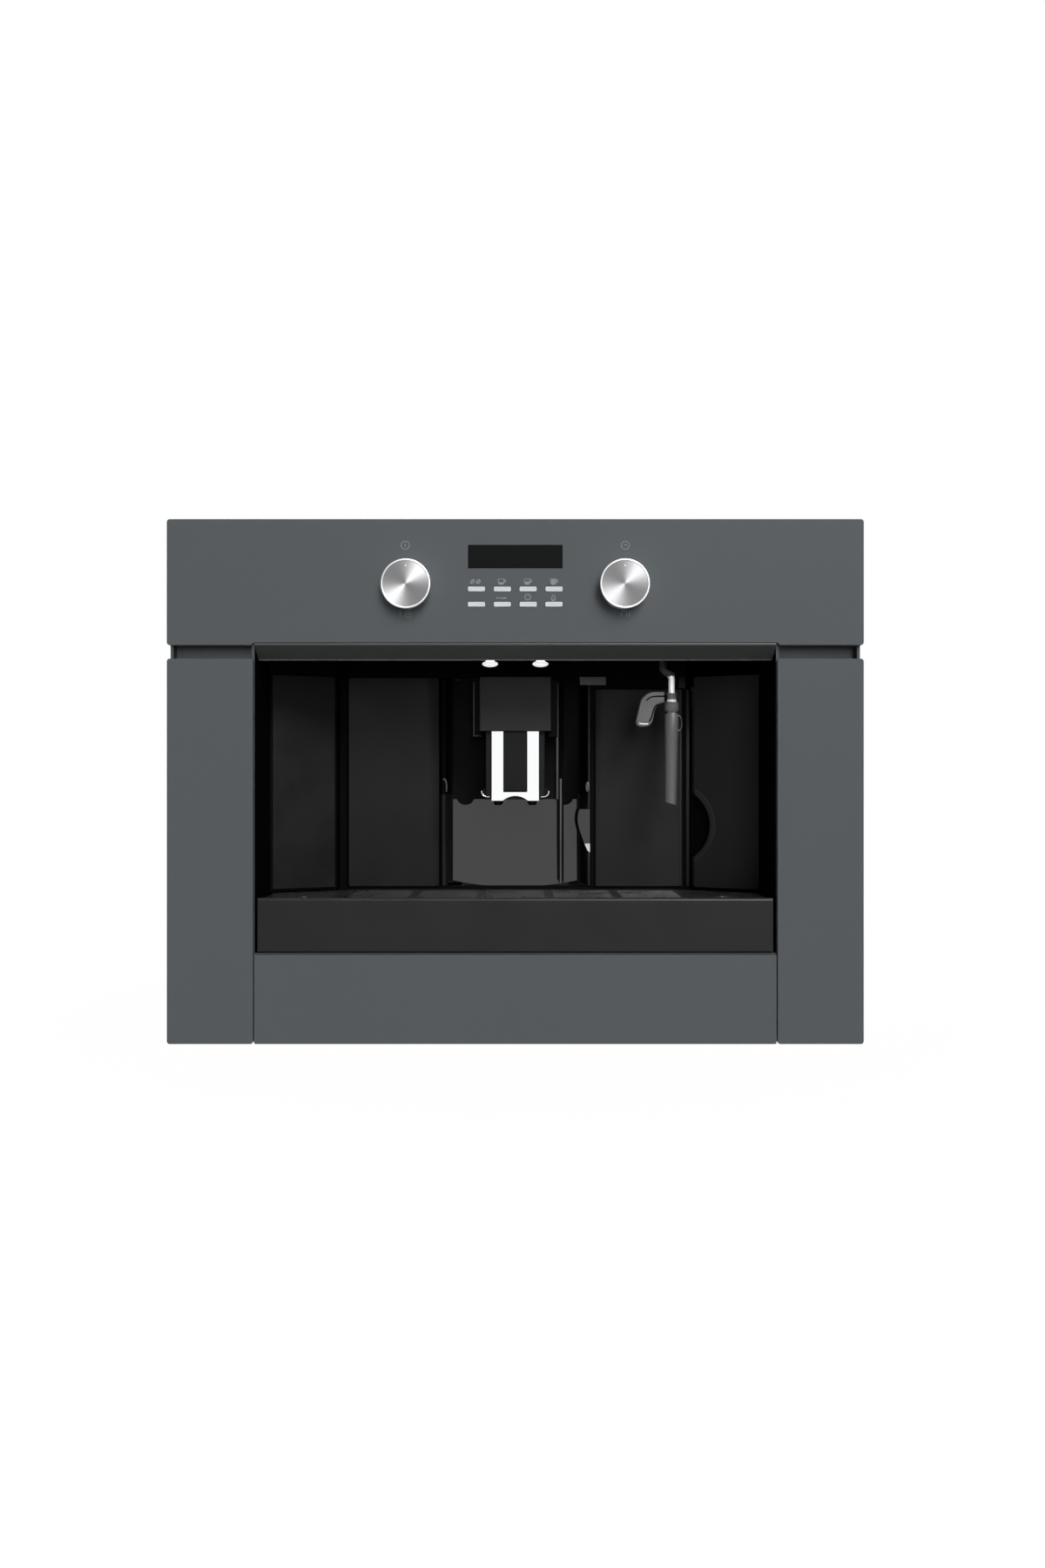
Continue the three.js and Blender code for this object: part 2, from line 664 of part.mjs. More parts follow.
// ---------------------------------------------------------------- alcove liner
// One black moulding: the bay that the drip tray slides in, the angled wings and back walls
// above it, the bay of the water tank, and the ceiling.
const jambBack = alcoveBack + 12;
const trayBayBack = alcoveBack + MOULD_WALL;
const tankFront = alcoveBack + FINGER_POCKET / 2;
const tankRear = tankFront + TANK_LENGTH;
const bayRear = tankRear + RUN_GAP;
const lampY = glassFront + LAMP_DEPTH;
const wandY = glassFront + WAND_DEPTH;
// The service door turns on this upright line, at its left edge.
const hingePlace = [HINGE_KNUCKLE - doorOuter, alcoveBack + HINGE_KNUCKLE];

// Walls of the right half seen from above, from the frame back to the door. Thickened
// backwards, so that they fall outside the alcove.
const doorwayCorners = [
  [DOOR_OPENING / 2, alcoveBack],
  [DOOR_OPENING / 2, jambBack],
];
const wingCorners = [
  [openHalf, linerBack],
  [openHalf, wingOuter],
  [wingEnd, wingInner],
  [wingEnd - GROOVE_DEPTH / 2, alcoveBack + GROOVE_DEPTH],
  [panelEnd + GROOVE_DEPTH / 2, alcoveBack + GROOVE_DEPTH],
  [panelEnd, alcoveBack],
  ...doorwayCorners,
];
const tankBayCorners = [
  [openHalf, linerBack],
  [openHalf, bayRear],
  [bayLeft, bayRear],
  [bayLeft, alcoveBack],
  ...doorwayCorners,
];

function alcoveLiner() {
  const wallSpan = [trayTop - GRID_DROP + RUN_GAP, ceiling + MOULD_WALL];
  const outside = openHalf + MOULD_WALL;
  const trayBay = cut(
    block([-outside, outside], [linerBack, trayBayBack], [bayFloor - MOULD_WALL, trayTop]),
    block([-openHalf, openHalf], [linerBack - 1, alcoveBack], [bayFloor, trayTop + 1]),
  );
  const ceilingPlate = block(
    [-outside, outside],
    [linerBack, alcoveBack + GROOVE_DEPTH + MOULD_WALL],
    [ceiling, ceiling + MOULD_WALL],
  );
  const tankRoof = block(
    [bayLeft - MOULD_WALL, outside],
    [alcoveBack, bayRear + MOULD_WALL],
    [ceiling, ceiling + MOULD_WALL],
  );
  const tankFloor = block(
    [bayLeft - MOULD_WALL, outside],
    [alcoveBack, bayRear + MOULD_WALL],
    [sill - MOULD_WALL, sill],
  );
  const doorHeader = block(
    [-DOOR_OPENING / 2 - 1, DOOR_OPENING / 2 + 1],
    [alcoveBack, jambBack],
    [headerBottom, ceiling + 1],
  );
  const doorSill = block(
    [-DOOR_OPENING / 2 - 1, DOOR_OPENING / 2 + 1],
    [alcoveBack, jambBack],
    [sill - MOULD_WALL, sill],
  );
  const shell = joined(
    trayBay,
    toLeft(standing(wallOutline(wingCorners, -MOULD_WALL), wallSpan)),
    standing(wallOutline(tankBayCorners, -MOULD_WALL), wallSpan),
    ceilingPlate,
    tankRoof,
    tankFloor,
    doorHeader,
    doorSill,
  );
  const lampHoles = [-1, 1].map((side) =>
    post([(side * LAMP_SPACING) / 2, lampY], LAMP_STEM + SEAT_GAP, [ceiling - 1, ceiling + MOULD_WALL + 1]),
  );
  const wandHole = post([WAND_X, wandY], HUB_RADIUS - 2, [ceiling - 1, ceiling + MOULD_WALL + 1]);
  const hingeHole = post(hingePlace, HINGE_PIN + SEAT_GAP, [sill - 10, ceiling - 1], 16);
  return cut(shell, ...lampHoles, wandHole, hingeHole);
}

addPiece("alcove_liner", alcoveLiner(), blackPlastic);

// Satin panels applied to the left wing and to both back walls.
const panelTop = ceiling - PANEL_TOP_GAP;
const onWall = (corners, top) =>
  standing(wallOutline(corners.map(([x, y]) => [x, y - SEAT_GAP]), PANEL), [sill, top]);
const wingEdge = 1.5;
const wingPanel = [
  [openHalf - wingEdge, wingOuter + wingEdge * wingSlope],
  [wingEnd + wingEdge, wingInner - wingEdge * wingSlope],
];
const backPanel = (doorGap) => [
  [panelEnd - 0.5, alcoveBack],
  [DOOR_OPENING / 2 + doorGap, alcoveBack],
];
addPiece("wing_panel_left", toLeft(onWall(wingPanel, panelTop)), satinPlastic);
addPiece("back_panel_left", toLeft(onWall(backPanel(HINGE_SIDE_GAP), panelTop)), satinPlastic);
addPiece(
  "back_panel_right",
  onWall(backPanel(LATCH_SIDE_GAP), ceiling - RIGHT_PANEL_TOP_GAP),
  satinPlastic,
);

// Alcove lamps: flattened round lenses that hang from the ceiling on a short stem.
function lamp(x) {
  const foot = ceiling - LAMP_DROP;
  const middle = foot + LENS_HEIGHT / 2;
  const steps = 10;
  const lens = Array.from({ length: steps }, (_, i) => {
    const turn = (Math.PI * i) / steps;
    return [LAMP_RADIUS * Math.sin(turn), middle - (LENS_HEIGHT / 2) * Math.cos(turn)];
  }).filter(([r, z]) => z < middle || r > LAMP_STEM);
  const profile = [
    ...lens,
    [LAMP_STEM, foot + LENS_HEIGHT],
    [LAMP_STEM, ceiling + MOULD_WALL],
    [0, ceiling + MOULD_WALL],
  ];
  return turned(profile, [x, lampY], 24);
}
addPiece("lamp_left", lamp(-LAMP_SPACING / 2), lampWhite);
addPiece("lamp_right", lamp(LAMP_SPACING / 2), lampWhite);

// ---------------------------------------------------------------- service door
// Hollow gloss-black door whose cheeks sweep back from the alcove wall to a flat centre. It
// hangs on two stub pins at its left edge and is pulled open at a round cut in its right cheek.
const cheekSteps = 5;
const doorFlatHalf = DOOR_FLAT / 2;

// Inner line of the door seen from above: an elliptic cheek at each side of the flat.
function doorCorners() {
  const width = doorInner - doorFlatHalf;
  const depth = doorFlat - alcoveBack;
  const cheek = Array.from({ length: cheekSteps + 1 }, (_, i) => {
    const turn = (Math.PI / 2) * (i / cheekSteps);
    return [doorInner - width * (1 - Math.cos(turn)), alcoveBack + depth * Math.sin(turn)];
  });
  return [...cheek, ...mirrored(cheek)];
}

function serviceDoor() {
  const shell = standing(wallOutline(doorCorners(), -DOOR_WALL), [doorBottom, doorTop]);
  const pullCentre = [alcoveBack + PULL_DEPTH, doorBottom + PULL_HEIGHT];
  const pullRound = rodAlongX(pullCentre, PULL_RADIUS, [doorFlatHalf - 1, doorOuter + 1], 48);
  const abovePull = block(
    [doorFlatHalf - 2, doorOuter + 2],
    [pullCentre[0] - PULL_RADIUS - 1, pullCentre[0] + PULL_RADIUS + 1],
    [pullCentre[1] + PULL_RISE, pullCentre[1] + PULL_RADIUS + 1],
  );
  const pull = cut(pullRound, abovePull);
  const corner = block(
    [-doorOuter - 1, hingePlace[0]],
    [alcoveBack - 1, hingePlace[1]],
    [doorBottom - 1, doorTop + 1],
  );
  const knuckle = post(hingePlace, HINGE_KNUCKLE, [doorBottom, doorTop], 20);
  const pin = post(
    hingePlace,
    HINGE_PIN,
    [sill - MOULD_WALL + SEAT_GAP, (headerBottom + ceiling) / 2],
    16,
  );
  const guideX = HOUSING_BACK_WIDTH / 2 + SEAT_GAP;
  const guideLayer = [doorFlat - GUIDE_DEPTH, doorFlat + 0.1];
  const longGuide = block([guideX, guideX + GUIDE_RIB], guideLayer, [doorBottom, doorTop - 1]);
  const shortX = guideX + GUIDE_RIB + GUIDE_SLOT;
  const shortGuide = block(
    [shortX, shortX + GUIDE_RIB],
    guideLayer,
    [doorBottom, doorBottom + GUIDE_SHORT_HEIGHT],
  );
  const latchStart = doorInner - 7.5;
  const latchTop = doorTop + LATCH_RISE;
  const latch = block(
    [latchStart, latchStart + LATCH_TAB[0]],
    [alcoveBack - 3.5, alcoveBack - SEAT_GAP],
    [latchTop - LATCH_TAB[1], latchTop],
  );
  const latchRoot = block(
    [latchStart, doorInner + 1],
    [alcoveBack - 1, alcoveBack + 8],
    [latchTop - LATCH_TAB[1], doorTop],
  );
  return joined(cut(shell, pull, corner), knuckle, pin, longGuide, shortGuide, latch, latchRoot);
}
addPiece("service_door", serviceDoor(), glossBlack);

// ---------------------------------------------------------------- spout housing
// Square hood on the door, open below, that the height-adjustable spout slides up into.
const housingFront = glassFront + HOUSING_DEPTH;
const housingTop = doorTop - 1;
const housingBottom = housingTop - HOUSING_HEIGHT;
const housingWall = 2.2;
const housingHalf = HOUSING_WIDTH / 2;
const spoutBack = doorFlat - 10;
const housingStep = alcoveBack + 4;
const housingRoof = 2;

function spoutHousing() {
  const outside = joined(
    standing(
      roundedOutline([-housingHalf, housingHalf], [housingFront, housingStep + 2], 1.2),
      [housingBottom, housingTop],
      3,
    ),
    block(
      [-HOUSING_BACK_WIDTH / 2, HOUSING_BACK_WIDTH / 2],
      [housingStep, doorFlat - SEAT_GAP],
      [housingBottom - 4, housingTop],
    ),
  );
  const well = block(
    [housingWall - housingHalf, housingHalf - housingWall],
    [housingFront + housingWall, spoutBack],
    [housingBottom - 5, housingTop - housingRoof],
  );
  return cut(outside, well);
}
addPiece("spout_housing", spoutHousing(), satinPlastic);

// ---------------------------------------------------------------- coffee spout
// Slider with twin outlets. Its column runs in the housing, and its foot flares out below.
const spoutTop = housingBottom + SPOUT_ENGAGED;
const spoutFoot = housingBottom - SPOUT_DROP;
const trimFront = housingFront + housingWall + RUN_GAP;
const trimBack = trimFront + TRIM;
const columnFront = trimBack + SEAT_GAP;
const columnHalf = SPOUT_WIDTH / 2;
const footHalf = SPOUT_FOOT[0] / 2;
const footSpan = [spoutFoot + SPOUT_FOOT_RISE, spoutFoot + SPOUT_FOOT_RISE + SPOUT_FOOT[1]];

function spoutBody() {
  const column = block(
    [-columnHalf, columnHalf],
    [columnFront, spoutBack - RUN_GAP],
    [spoutFoot + 1.5, spoutTop],
  );
  const foot = facing(
    roundedOutline([-footHalf, footHalf], footSpan, SPOUT_FOOT[1] / 2 - 0.1),
    [columnFront + 3, spoutBack - RUN_GAP - 6],
    5,
  );
  const inlay = block(
    [SEAT_GAP - TRIM_WINDOW / 2, TRIM_WINDOW / 2 - SEAT_GAP],
    [trimFront + 0.6, columnFront + 1],
    [spoutFoot + TRIM_BAR + 1, spoutTop],
  );
  const nozzleY = columnFront + 8;
  const nozzles = [-1, 1].map((side) => {
    const place = [(side * NOZZLE_SPACING) / 2, nozzleY];
    const tip = spoutFoot - NOZZLE_LENGTH;
    return cut(
      turned(
        [
          [0, tip],
          [NOZZLE_RADIUS, tip],
          [NOZZLE_RADIUS + 1.6, spoutFoot + 2],
          [NOZZLE_RADIUS + 1.6, spoutFoot + 4],
          [0, spoutFoot + 4],
        ],
        place,
        20,
      ),
      post(place, NOZZLE_BORE, [tip - 1, tip + 6], 12),
    );
  });
  return joined(column, foot, inlay, ...nozzles);
}
addPiece("spout_body", spoutBody(), darkPlastic);

// Chrome plate on the spout: a tall window above, and an arch between the two outlets.
function spoutTrim() {
  const half = TRIM_WIDTH / 2;
  const archHalf = TRIM_ARCH[0] / 2;
  const archRise = TRIM_ARCH[1];
  const archRadius = (archHalf ** 2 + archRise ** 2) / (2 * archRise);
  const archTurn = Math.asin(archHalf / archRadius);
  const archCentre = spoutFoot + archRise - archRadius;
  const shape = new THREE.Shape();
  shape.moveTo(-half, spoutFoot);
  shape.lineTo(-archHalf, spoutFoot);
  shape.absarc(0, archCentre, archRadius, Math.PI / 2 + archTurn, Math.PI / 2 - archTurn, true);
  shape.lineTo(half, spoutFoot);
  shape.lineTo(half, spoutTop);
  shape.lineTo(TRIM_WINDOW / 2, spoutTop);
  shape.lineTo(TRIM_WINDOW / 2, spoutFoot + TRIM_BAR);
  shape.lineTo(-TRIM_WINDOW / 2, spoutFoot + TRIM_BAR);
  shape.lineTo(-TRIM_WINDOW / 2, spoutTop);
  shape.lineTo(-half, spoutTop);
  return facing(shape, [trimFront, trimBack], 12);
}
addPiece("spout_trim", spoutTrim(), chrome);

// ---------------------------------------------------------------- steam wand
// Crank-shaped steel tube that swivels in a hub under the ceiling, a lever to turn it by, and
// a plastic nozzle sleeve pushed on to its end.
const sleeveX = WAND_X + WAND_OFFSET;
const wandTip = ceiling - WAND_LENGTH;
const sleeveTop = wandTip + SLEEVE_LENGTH;
const clampFoot = sleeveTop + 5;
const collarTop = clampFoot + 12;
const hubBottom = ceiling - HUB_DROP;

addPiece(
  "wand_socket",
  cut(
    turned(
      [
        [0, hubBottom],
        [HUB_RADIUS - 2, hubBottom],
        [HUB_RADIUS, hubBottom + 2],
        [HUB_RADIUS, ceiling - SEAT_GAP],
        [HUB_RADIUS - 2 - SEAT_GAP, ceiling - SEAT_GAP],
        [HUB_RADIUS - 2 - SEAT_GAP, ceiling + MOULD_WALL],
        [0, ceiling + MOULD_WALL],
      ],
      [WAND_X, wandY],
      28,
    ),
    post([WAND_X, wandY], TUBE_RADIUS + 0.8 + RUN_GAP, [hubBottom - 1, ceiling + MOULD_WALL + 1]),
  ),
  satinPlastic,
);

// The swept tube, its bearing journal in the hub, and the nut above the sleeve.
function steamTube() {
  const bendTop = ceiling - BEND_DROP;
  const bendEnd = bendTop - BEND_LENGTH;
  const bendReach = BEND_LENGTH / 2;
  const path = new THREE.CurvePath();
  path.add(
    new THREE.LineCurve3(
      new THREE.Vector3(WAND_X, wandY, ceiling),
      new THREE.Vector3(WAND_X, wandY, bendTop),
    ),
  );
  path.add(
    new THREE.CubicBezierCurve3(
      new THREE.Vector3(WAND_X, wandY, bendTop),
      new THREE.Vector3(WAND_X, wandY, bendTop - bendReach),
      new THREE.Vector3(sleeveX, wandY, bendEnd + bendReach),
      new THREE.Vector3(sleeveX, wandY, bendEnd),
    ),
  );
  path.add(
    new THREE.LineCurve3(
      new THREE.Vector3(sleeveX, wandY, bendEnd),
      new THREE.Vector3(sleeveX, wandY, sleeveTop - 20),
    ),
  );
  const section = new THREE.Shape();
  section.absarc(0, 0, TUBE_RADIUS, 0, 2 * Math.PI);
  const tube = solidOf(
    new THREE.ExtrudeGeometry(section, { steps: 40, curveSegments: 6, extrudePath: path }),
  );
  const journal = post([WAND_X, wandY], TUBE_RADIUS + 0.8, [hubBottom + 1, ceiling + MOULD_WALL]);
  const nut = turned(
    [
      [0, sleeveTop + SEAT_GAP],
      [SLEEVE_TOP_RADIUS, sleeveTop + SEAT_GAP],
      [SLEEVE_TOP_RADIUS, sleeveTop + 3],
      [SLEEVE_TOP_RADIUS - 1.4, clampFoot - SEAT_GAP],
      [0, clampFoot - SEAT_GAP],
    ],
    [sleeveX, wandY],
    24,
  );
  return joined(tube, journal, nut);
}
addPiece("steam_tube", steamTube(), chrome);

// Lever clamped round the tube, bent down at its free end for the fingers.
function wandGrip() {
  const clamp = post([sleeveX, wandY], TUBE_RADIUS + CLAMP_WALL, [clampFoot, collarTop]);
  const shape = new THREE.Shape();
  const top = collarTop - 0.5;
  const left = sleeveX - GRIP_REACH;
  shape.moveTo(sleeveX, top);
  shape.lineTo(left + 12, top);
  shape.bezierCurveTo(left + 5, top, left + 1.5, top - 7, left, top - 22);
  shape.absarc(left + 2.5, top - GRIP_DROP + 2.5, 2.5, Math.PI, 1.5 * Math.PI);
  shape.absarc(left + 12, top - GRIP_DROP + 3.5, 2.5, 1.5 * Math.PI, 2 * Math.PI);
  shape.bezierCurveTo(left + 16, top - 16, left + 18, top - 11, left + 25, top - 10);
  shape.lineTo(sleeveX, top - 10);
  const lever = facing(shape, [wandY - GRIP_THICKNESS / 2, wandY + GRIP_THICKNESS / 2], 5);
  const bore = post([sleeveX, wandY], TUBE_RADIUS + SEAT_GAP, [sleeveTop, collarTop + 9]);
  return cut(joined(clamp, lever), bore);
}
addPiece("wand_grip", wandGrip(), wandGrey);

// Tapered sleeve with a slanting mouth and a release catch at its side.
function nozzleSleeve() {
  const body = turned(
    [
      [0, wandTip],
      [SLEEVE_TIP_RADIUS, wandTip],
      [SLEEVE_TOP_RADIUS - 0.8, sleeveTop - 18],
      [SLEEVE_TOP_RADIUS, sleeveTop - 14],
      [SLEEVE_TOP_RADIUS, sleeveTop - 3],
      [SLEEVE_TOP_RADIUS - 1, sleeveTop],
      [0, sleeveTop],
    ],
    [sleeveX, wandY],
    28,
  );
  const socket = post([sleeveX, wandY], TUBE_RADIUS + SEAT_GAP, [sleeveTop - 21, sleeveTop + 1]);
  const mouth = turned(
    [
      [0, wandTip - 1],
      [SLEEVE_TIP_RADIUS - 1.2, wandTip - 1],
      [SLEEVE_TOP_RADIUS - 2.4, sleeveTop - 26],
      [0, sleeveTop - 26],
    ],
    [sleeveX, wandY],
    20,
  );
  const slant = facing(
    outline([
      [sleeveX - 10, wandTip - 1],
      [sleeveX + 10, wandTip - 1],
      [sleeveX - 10, wandTip + 3],
    ]),
    [wandY - 12, wandY + 12],
  );
  const release = block(
    [sleeveX + SLEEVE_TOP_RADIUS - 2, sleeveX + SLEEVE_TOP_RADIUS + 1.4],
    [wandY - 2.5, wandY + 2.5],
    [sleeveTop - 16, sleeveTop - 6],
  );
  return cut(joined(body, release), socket, mouth, slant);
}
addPiece("nozzle_sleeve", nozzleSleeve(), wandGrey);

// ---------------------------------------------------------------- drip tray
const trayFace = glassFront + TRAY_RECESS;
const trayHalf = openHalf - TRAY_GAP - RUN_GAP;
const tubFront = trayFace + TRAY_FACE + SEAT_GAP;
const tubRear = alcoveBack - PANEL - SEAT_GAP - RUN_GAP; // clear of the back panels
const tubTop = trayTop - GRID_DROP - GRID - SEAT_GAP;
const tubFloor = bayFloor + SEAT_GAP;
const gridBottom = tubTop + SEAT_GAP;
const gridTop = gridBottom + GRID;

// Front bar with a softly rounded top edge.
function trayFront() {
  const bar = new THREE.Shape();
  const soft = 2.5;
  bar.moveTo(trayFace, trayBottom);
  bar.lineTo(trayFace + TRAY_FACE, trayBottom);
  bar.lineTo(trayFace + TRAY_FACE, trayTop);
  bar.lineTo(trayFace + soft, trayTop);
  bar.absarc(trayFace + soft, trayTop - soft, soft, Math.PI / 2, Math.PI);
  return across(bar, [-trayHalf, trayHalf], 5);
}
addPiece("tray_front", trayFront(), darkPlastic);

// Plan of the tray, drawn in by the given margin. Its rear corners follow the alcove's wings.
function trayPlan(margin) {
  const side = trayHalf - 1.5 - margin;
  const rear = tubRear - margin;
  const cornerY = wingOuter - 4 - margin;
  const cornerX = side - (rear - cornerY) / wingSlope;
  return outline([
    [-side, tubFront + margin],
    [side, tubFront + margin],
    [side, cornerY],
    [cornerX, rear],
    [-cornerX, rear],
    [-side, cornerY],
  ]);
}

function trayTub() {
  const outer = standing(trayPlan(0), [tubFloor, tubTop]);
  return cut(outer, standing(trayPlan(TRAY_WALL), [tubFloor + TRAY_WALL, tubTop + 1]));
}
addPiece("tray_tub", trayTub(), satinPlastic);

// Cup grid: rows of slots, a hole for the float and a finger hole to lift it by.
const floatY = tubFront + 22;
function cupGrid() {
  const plate = standing(trayPlan(0), [gridBottom, gridTop]);
  const middle = (tubFront + tubRear) / 2;
  const reach = [FLOAT_X - 4 * FLOAT_RADIUS, (tubRear - tubFront) / 2 - SLOT_MARGIN];
  const sideways = Math.floor((reach[0] - SLOT_LENGTH / 2) / SLOT_PITCH[0]);
  const backwards = Math.floor((reach[1] - SLOT_WIDTH / 2) / SLOT_PITCH[1]);
  const rows = 2 * backwards + 1;
  const slots = Array.from({ length: (2 * sideways + 1) * rows }, (_, i) => {
    const x = (Math.floor(i / rows) - sideways) * SLOT_PITCH[0];
    const y = middle + ((i % rows) - backwards) * SLOT_PITCH[1];
    return block(
      [x - SLOT_LENGTH / 2, x + SLOT_LENGTH / 2],
      [y - SLOT_WIDTH / 2, y + SLOT_WIDTH / 2],
      [gridBottom - 1, gridTop + 1],
    );
  });
  const holes = [
    post([-FLOAT_X, floatY], FLOAT_RADIUS + RUN_GAP, [gridBottom - 1, gridTop + 1], 20),
    post([FLOAT_X, floatY], FLOAT_RADIUS + 5, [gridBottom - 1, gridTop + 1], 20),
  ];
  return cut(plate, ...slots, ...holes);
}
addPiece("cup_grid", cupGrid(), darkPlastic);

// Red float that rises through the grid when the tray is full.
addPiece(
  "tray_float",
  turned(
    [
      [0, tubFloor + TRAY_WALL + SEAT_GAP],
      [FLOAT_RADIUS + 4, tubFloor + TRAY_WALL + SEAT_GAP],
      [FLOAT_RADIUS + 4, tubFloor + TRAY_WALL + 12],
      [FLOAT_RADIUS, tubFloor + TRAY_WALL + 13],
      [FLOAT_RADIUS, gridTop - FLOAT_DROP - 1],
      [FLOAT_RADIUS - 1, gridTop - FLOAT_DROP],
      [0, gridTop - FLOAT_DROP],
    ],
    [-FLOAT_X, floatY],
    24,
  ),
  floatRed,
);

// ---------------------------------------------------------------- water tank
const tankHalfGap = 1.5;
const tankSpan = [bayLeft + tankHalfGap, openHalf - tankHalfGap];
const tankBottom = sill + SEAT_GAP;
const coverTop = headerBottom - SEAT_GAP;
const tankTop = coverTop - TANK_TOP_GAP;

function waterTank() {
  const [left, right] = tankSpan;
  const outer = standing(
    roundedOutline([left, right], [tankFront, tankRear], 8),
    [tankBottom, tankTop],
    4,
  );
  const inner = standing(
    roundedOutline(
      [left + TANK_WALL, right - TANK_WALL],
      [tankFront + TANK_WALL, tankRear - TANK_WALL],
      6,
    ),
    [tankBottom + TANK_WALL, tankTop + 1],
    4,
  );
  return cut(outer, inner);
}
addPiece("water_tank", waterTank(), smokedClear);

// Angled cover that closes the alcove in front of the tank. A round cut in its left edge lets
// the fingers reach behind it, and two webs tie it to the tank.
function tankCover() {
  const bottom = tankBottom;
  const top = coverTop;
  const outerEdge = [openHalf - tankHalfGap, wingOuter + tankHalfGap * wingSlope];
  const innerEdge = [wingEnd, wingInner];
  const plate = standing(wallOutline([innerEdge, outerEdge], DOOR_WALL), [bottom, top]);
  const webOutline = outline([
    [outerEdge[0], outerEdge[1] + 1],
    [outerEdge[0], tankFront - SEAT_GAP],
    [innerEdge[0] + 2, tankFront - SEAT_GAP],
    [innerEdge[0] + 2, innerEdge[1] + 1],
  ]);
  const fingerCut = rodAlongY(
    [wingEnd + FINGER_REACH - FINGER_RADIUS, trayTop + FINGER_HEIGHT],
    FINGER_RADIUS,
    [wingOuter, tankFront],
    48,
  );
  const sideWeb = block(
    [outerEdge[0] - DOOR_WALL, outerEdge[0]],
    [outerEdge[1] + 1, tankFront - SEAT_GAP],
    [bottom, top],
  );
  const overhang = block([outerEdge[0], openHalf], [wingOuter, wingInner], [bottom - 1, top + 1]);
  return cut(
    joined(
      plate,
      sideWeb,
      standing(webOutline, [bottom, bottom + DOOR_WALL]),
      standing(webOutline, [top - DOOR_WALL, top]),
    ),
    fingerCut,
    overhang,
  );
}
addPiece("tank_front", tankCover(), satinPlastic);

// ---------------------------------------------------------------- casing
const caseFront = SEAT_GAP;
const caseRear = BODY_DEPTH;
const coverInside = bodyHalf - SHEET;

// Folded steel tray under everything, with a hemmed flange along each side and the rear.
function chassisBase() {
  const half = coverInside - SEAT_GAP;
  const rear = caseRear - SHEET - SEAT_GAP;
  return cut(
    block([-half, half], [caseFront, rear], [BODY_BOTTOM, BODY_BOTTOM + BASE_FLANGE]),
    block(
      [SHEET - half, half - SHEET],
      [caseFront - 1, rear - SHEET],
      [BODY_BOTTOM + SHEET, BODY_BOTTOM + BASE_FLANGE + 1],
    ),
  );
}
addPiece("chassis_base", chassisBase(), zincSteel);

// Side cover with rows of cooling slots near its rear top corner and a screw flange in front.
function sideCover() {
  const plate = block([coverInside, bodyHalf], [caseFront, caseRear - SHEET - SEAT_GAP], [BODY_BOTTOM, bodyTop]);
  const flange = block(
    [coverInside - COVER_FLANGE, coverInside + SHEET / 2],
    [caseFront, caseFront + SHEET],
    [BODY_BOTTOM + BASE_FLANGE + FLANGE_GAP, bodyTop - FLANGE_GAP],
  );
  const half = [VENT_SLOT / 2, SIDE_VENT_LENGTH / 2];
  const slots = Array.from({ length: SIDE_VENT_COLUMNS * SIDE_VENT_ROWS }, (_, i) => {
    const y = caseRear - SIDE_VENT_INSET[0] - Math.floor(i / SIDE_VENT_ROWS) * SIDE_VENT_PITCH[0];
    const z = bodyTop - SIDE_VENT_INSET[1] - (i % SIDE_VENT_ROWS) * SIDE_VENT_PITCH[1];
    return block([coverInside - 1, bodyHalf + 1], [y - half[0], y + half[0]], [z - half[1], z + half[1]]);
  });
  return cut(joined(plate, flange), ...slots);
}
addPiece("side_cover_right", sideCover(), zincSteel);
addPiece("side_cover_left", toLeft(sideCover()), zincSteel);

// Rear cover with a louvred field and the cut-out of the mains inlet.
const inletHalf = [INLET_WIDTH / 2, INLET_HEIGHT / 2];
const inletCentre = [INLET_PLACE[0] - bodyHalf, INLET_PLACE[1]];
function rearCover() {
  const plate = block([-bodyHalf, bodyHalf], [caseRear - SHEET, caseRear], [BODY_BOTTOM, bodyTop]);
  const through = [caseRear - SHEET - 1, caseRear + 1];
  const half = [REAR_VENT_LENGTH / 2, VENT_SLOT / 2];
  const slots = Array.from({ length: REAR_VENT_COLUMNS * REAR_VENT_ROWS }, (_, i) => {
    const x = REAR_VENT_START[0] + Math.floor(i / REAR_VENT_ROWS) * REAR_VENT_PITCH[0];
    const z = BODY_BOTTOM + REAR_VENT_START[1] + (i % REAR_VENT_ROWS) * REAR_VENT_PITCH[1];
    return block([x - half[0], x + half[0]], through, [z - half[1], z + half[1]]);
  });
  const [inletX, inletZ] = inletCentre;
  const inletCut = block(
    [inletX - inletHalf[0] - SEAT_GAP, inletX + inletHalf[0] + SEAT_GAP],
    through,
    [inletZ - inletHalf[1] - SEAT_GAP, inletZ + inletHalf[1] + SEAT_GAP],
  );
  return cut(plate, ...slots, inletCut);
}
addPiece("rear_cover", rearCover(), zincSteel);

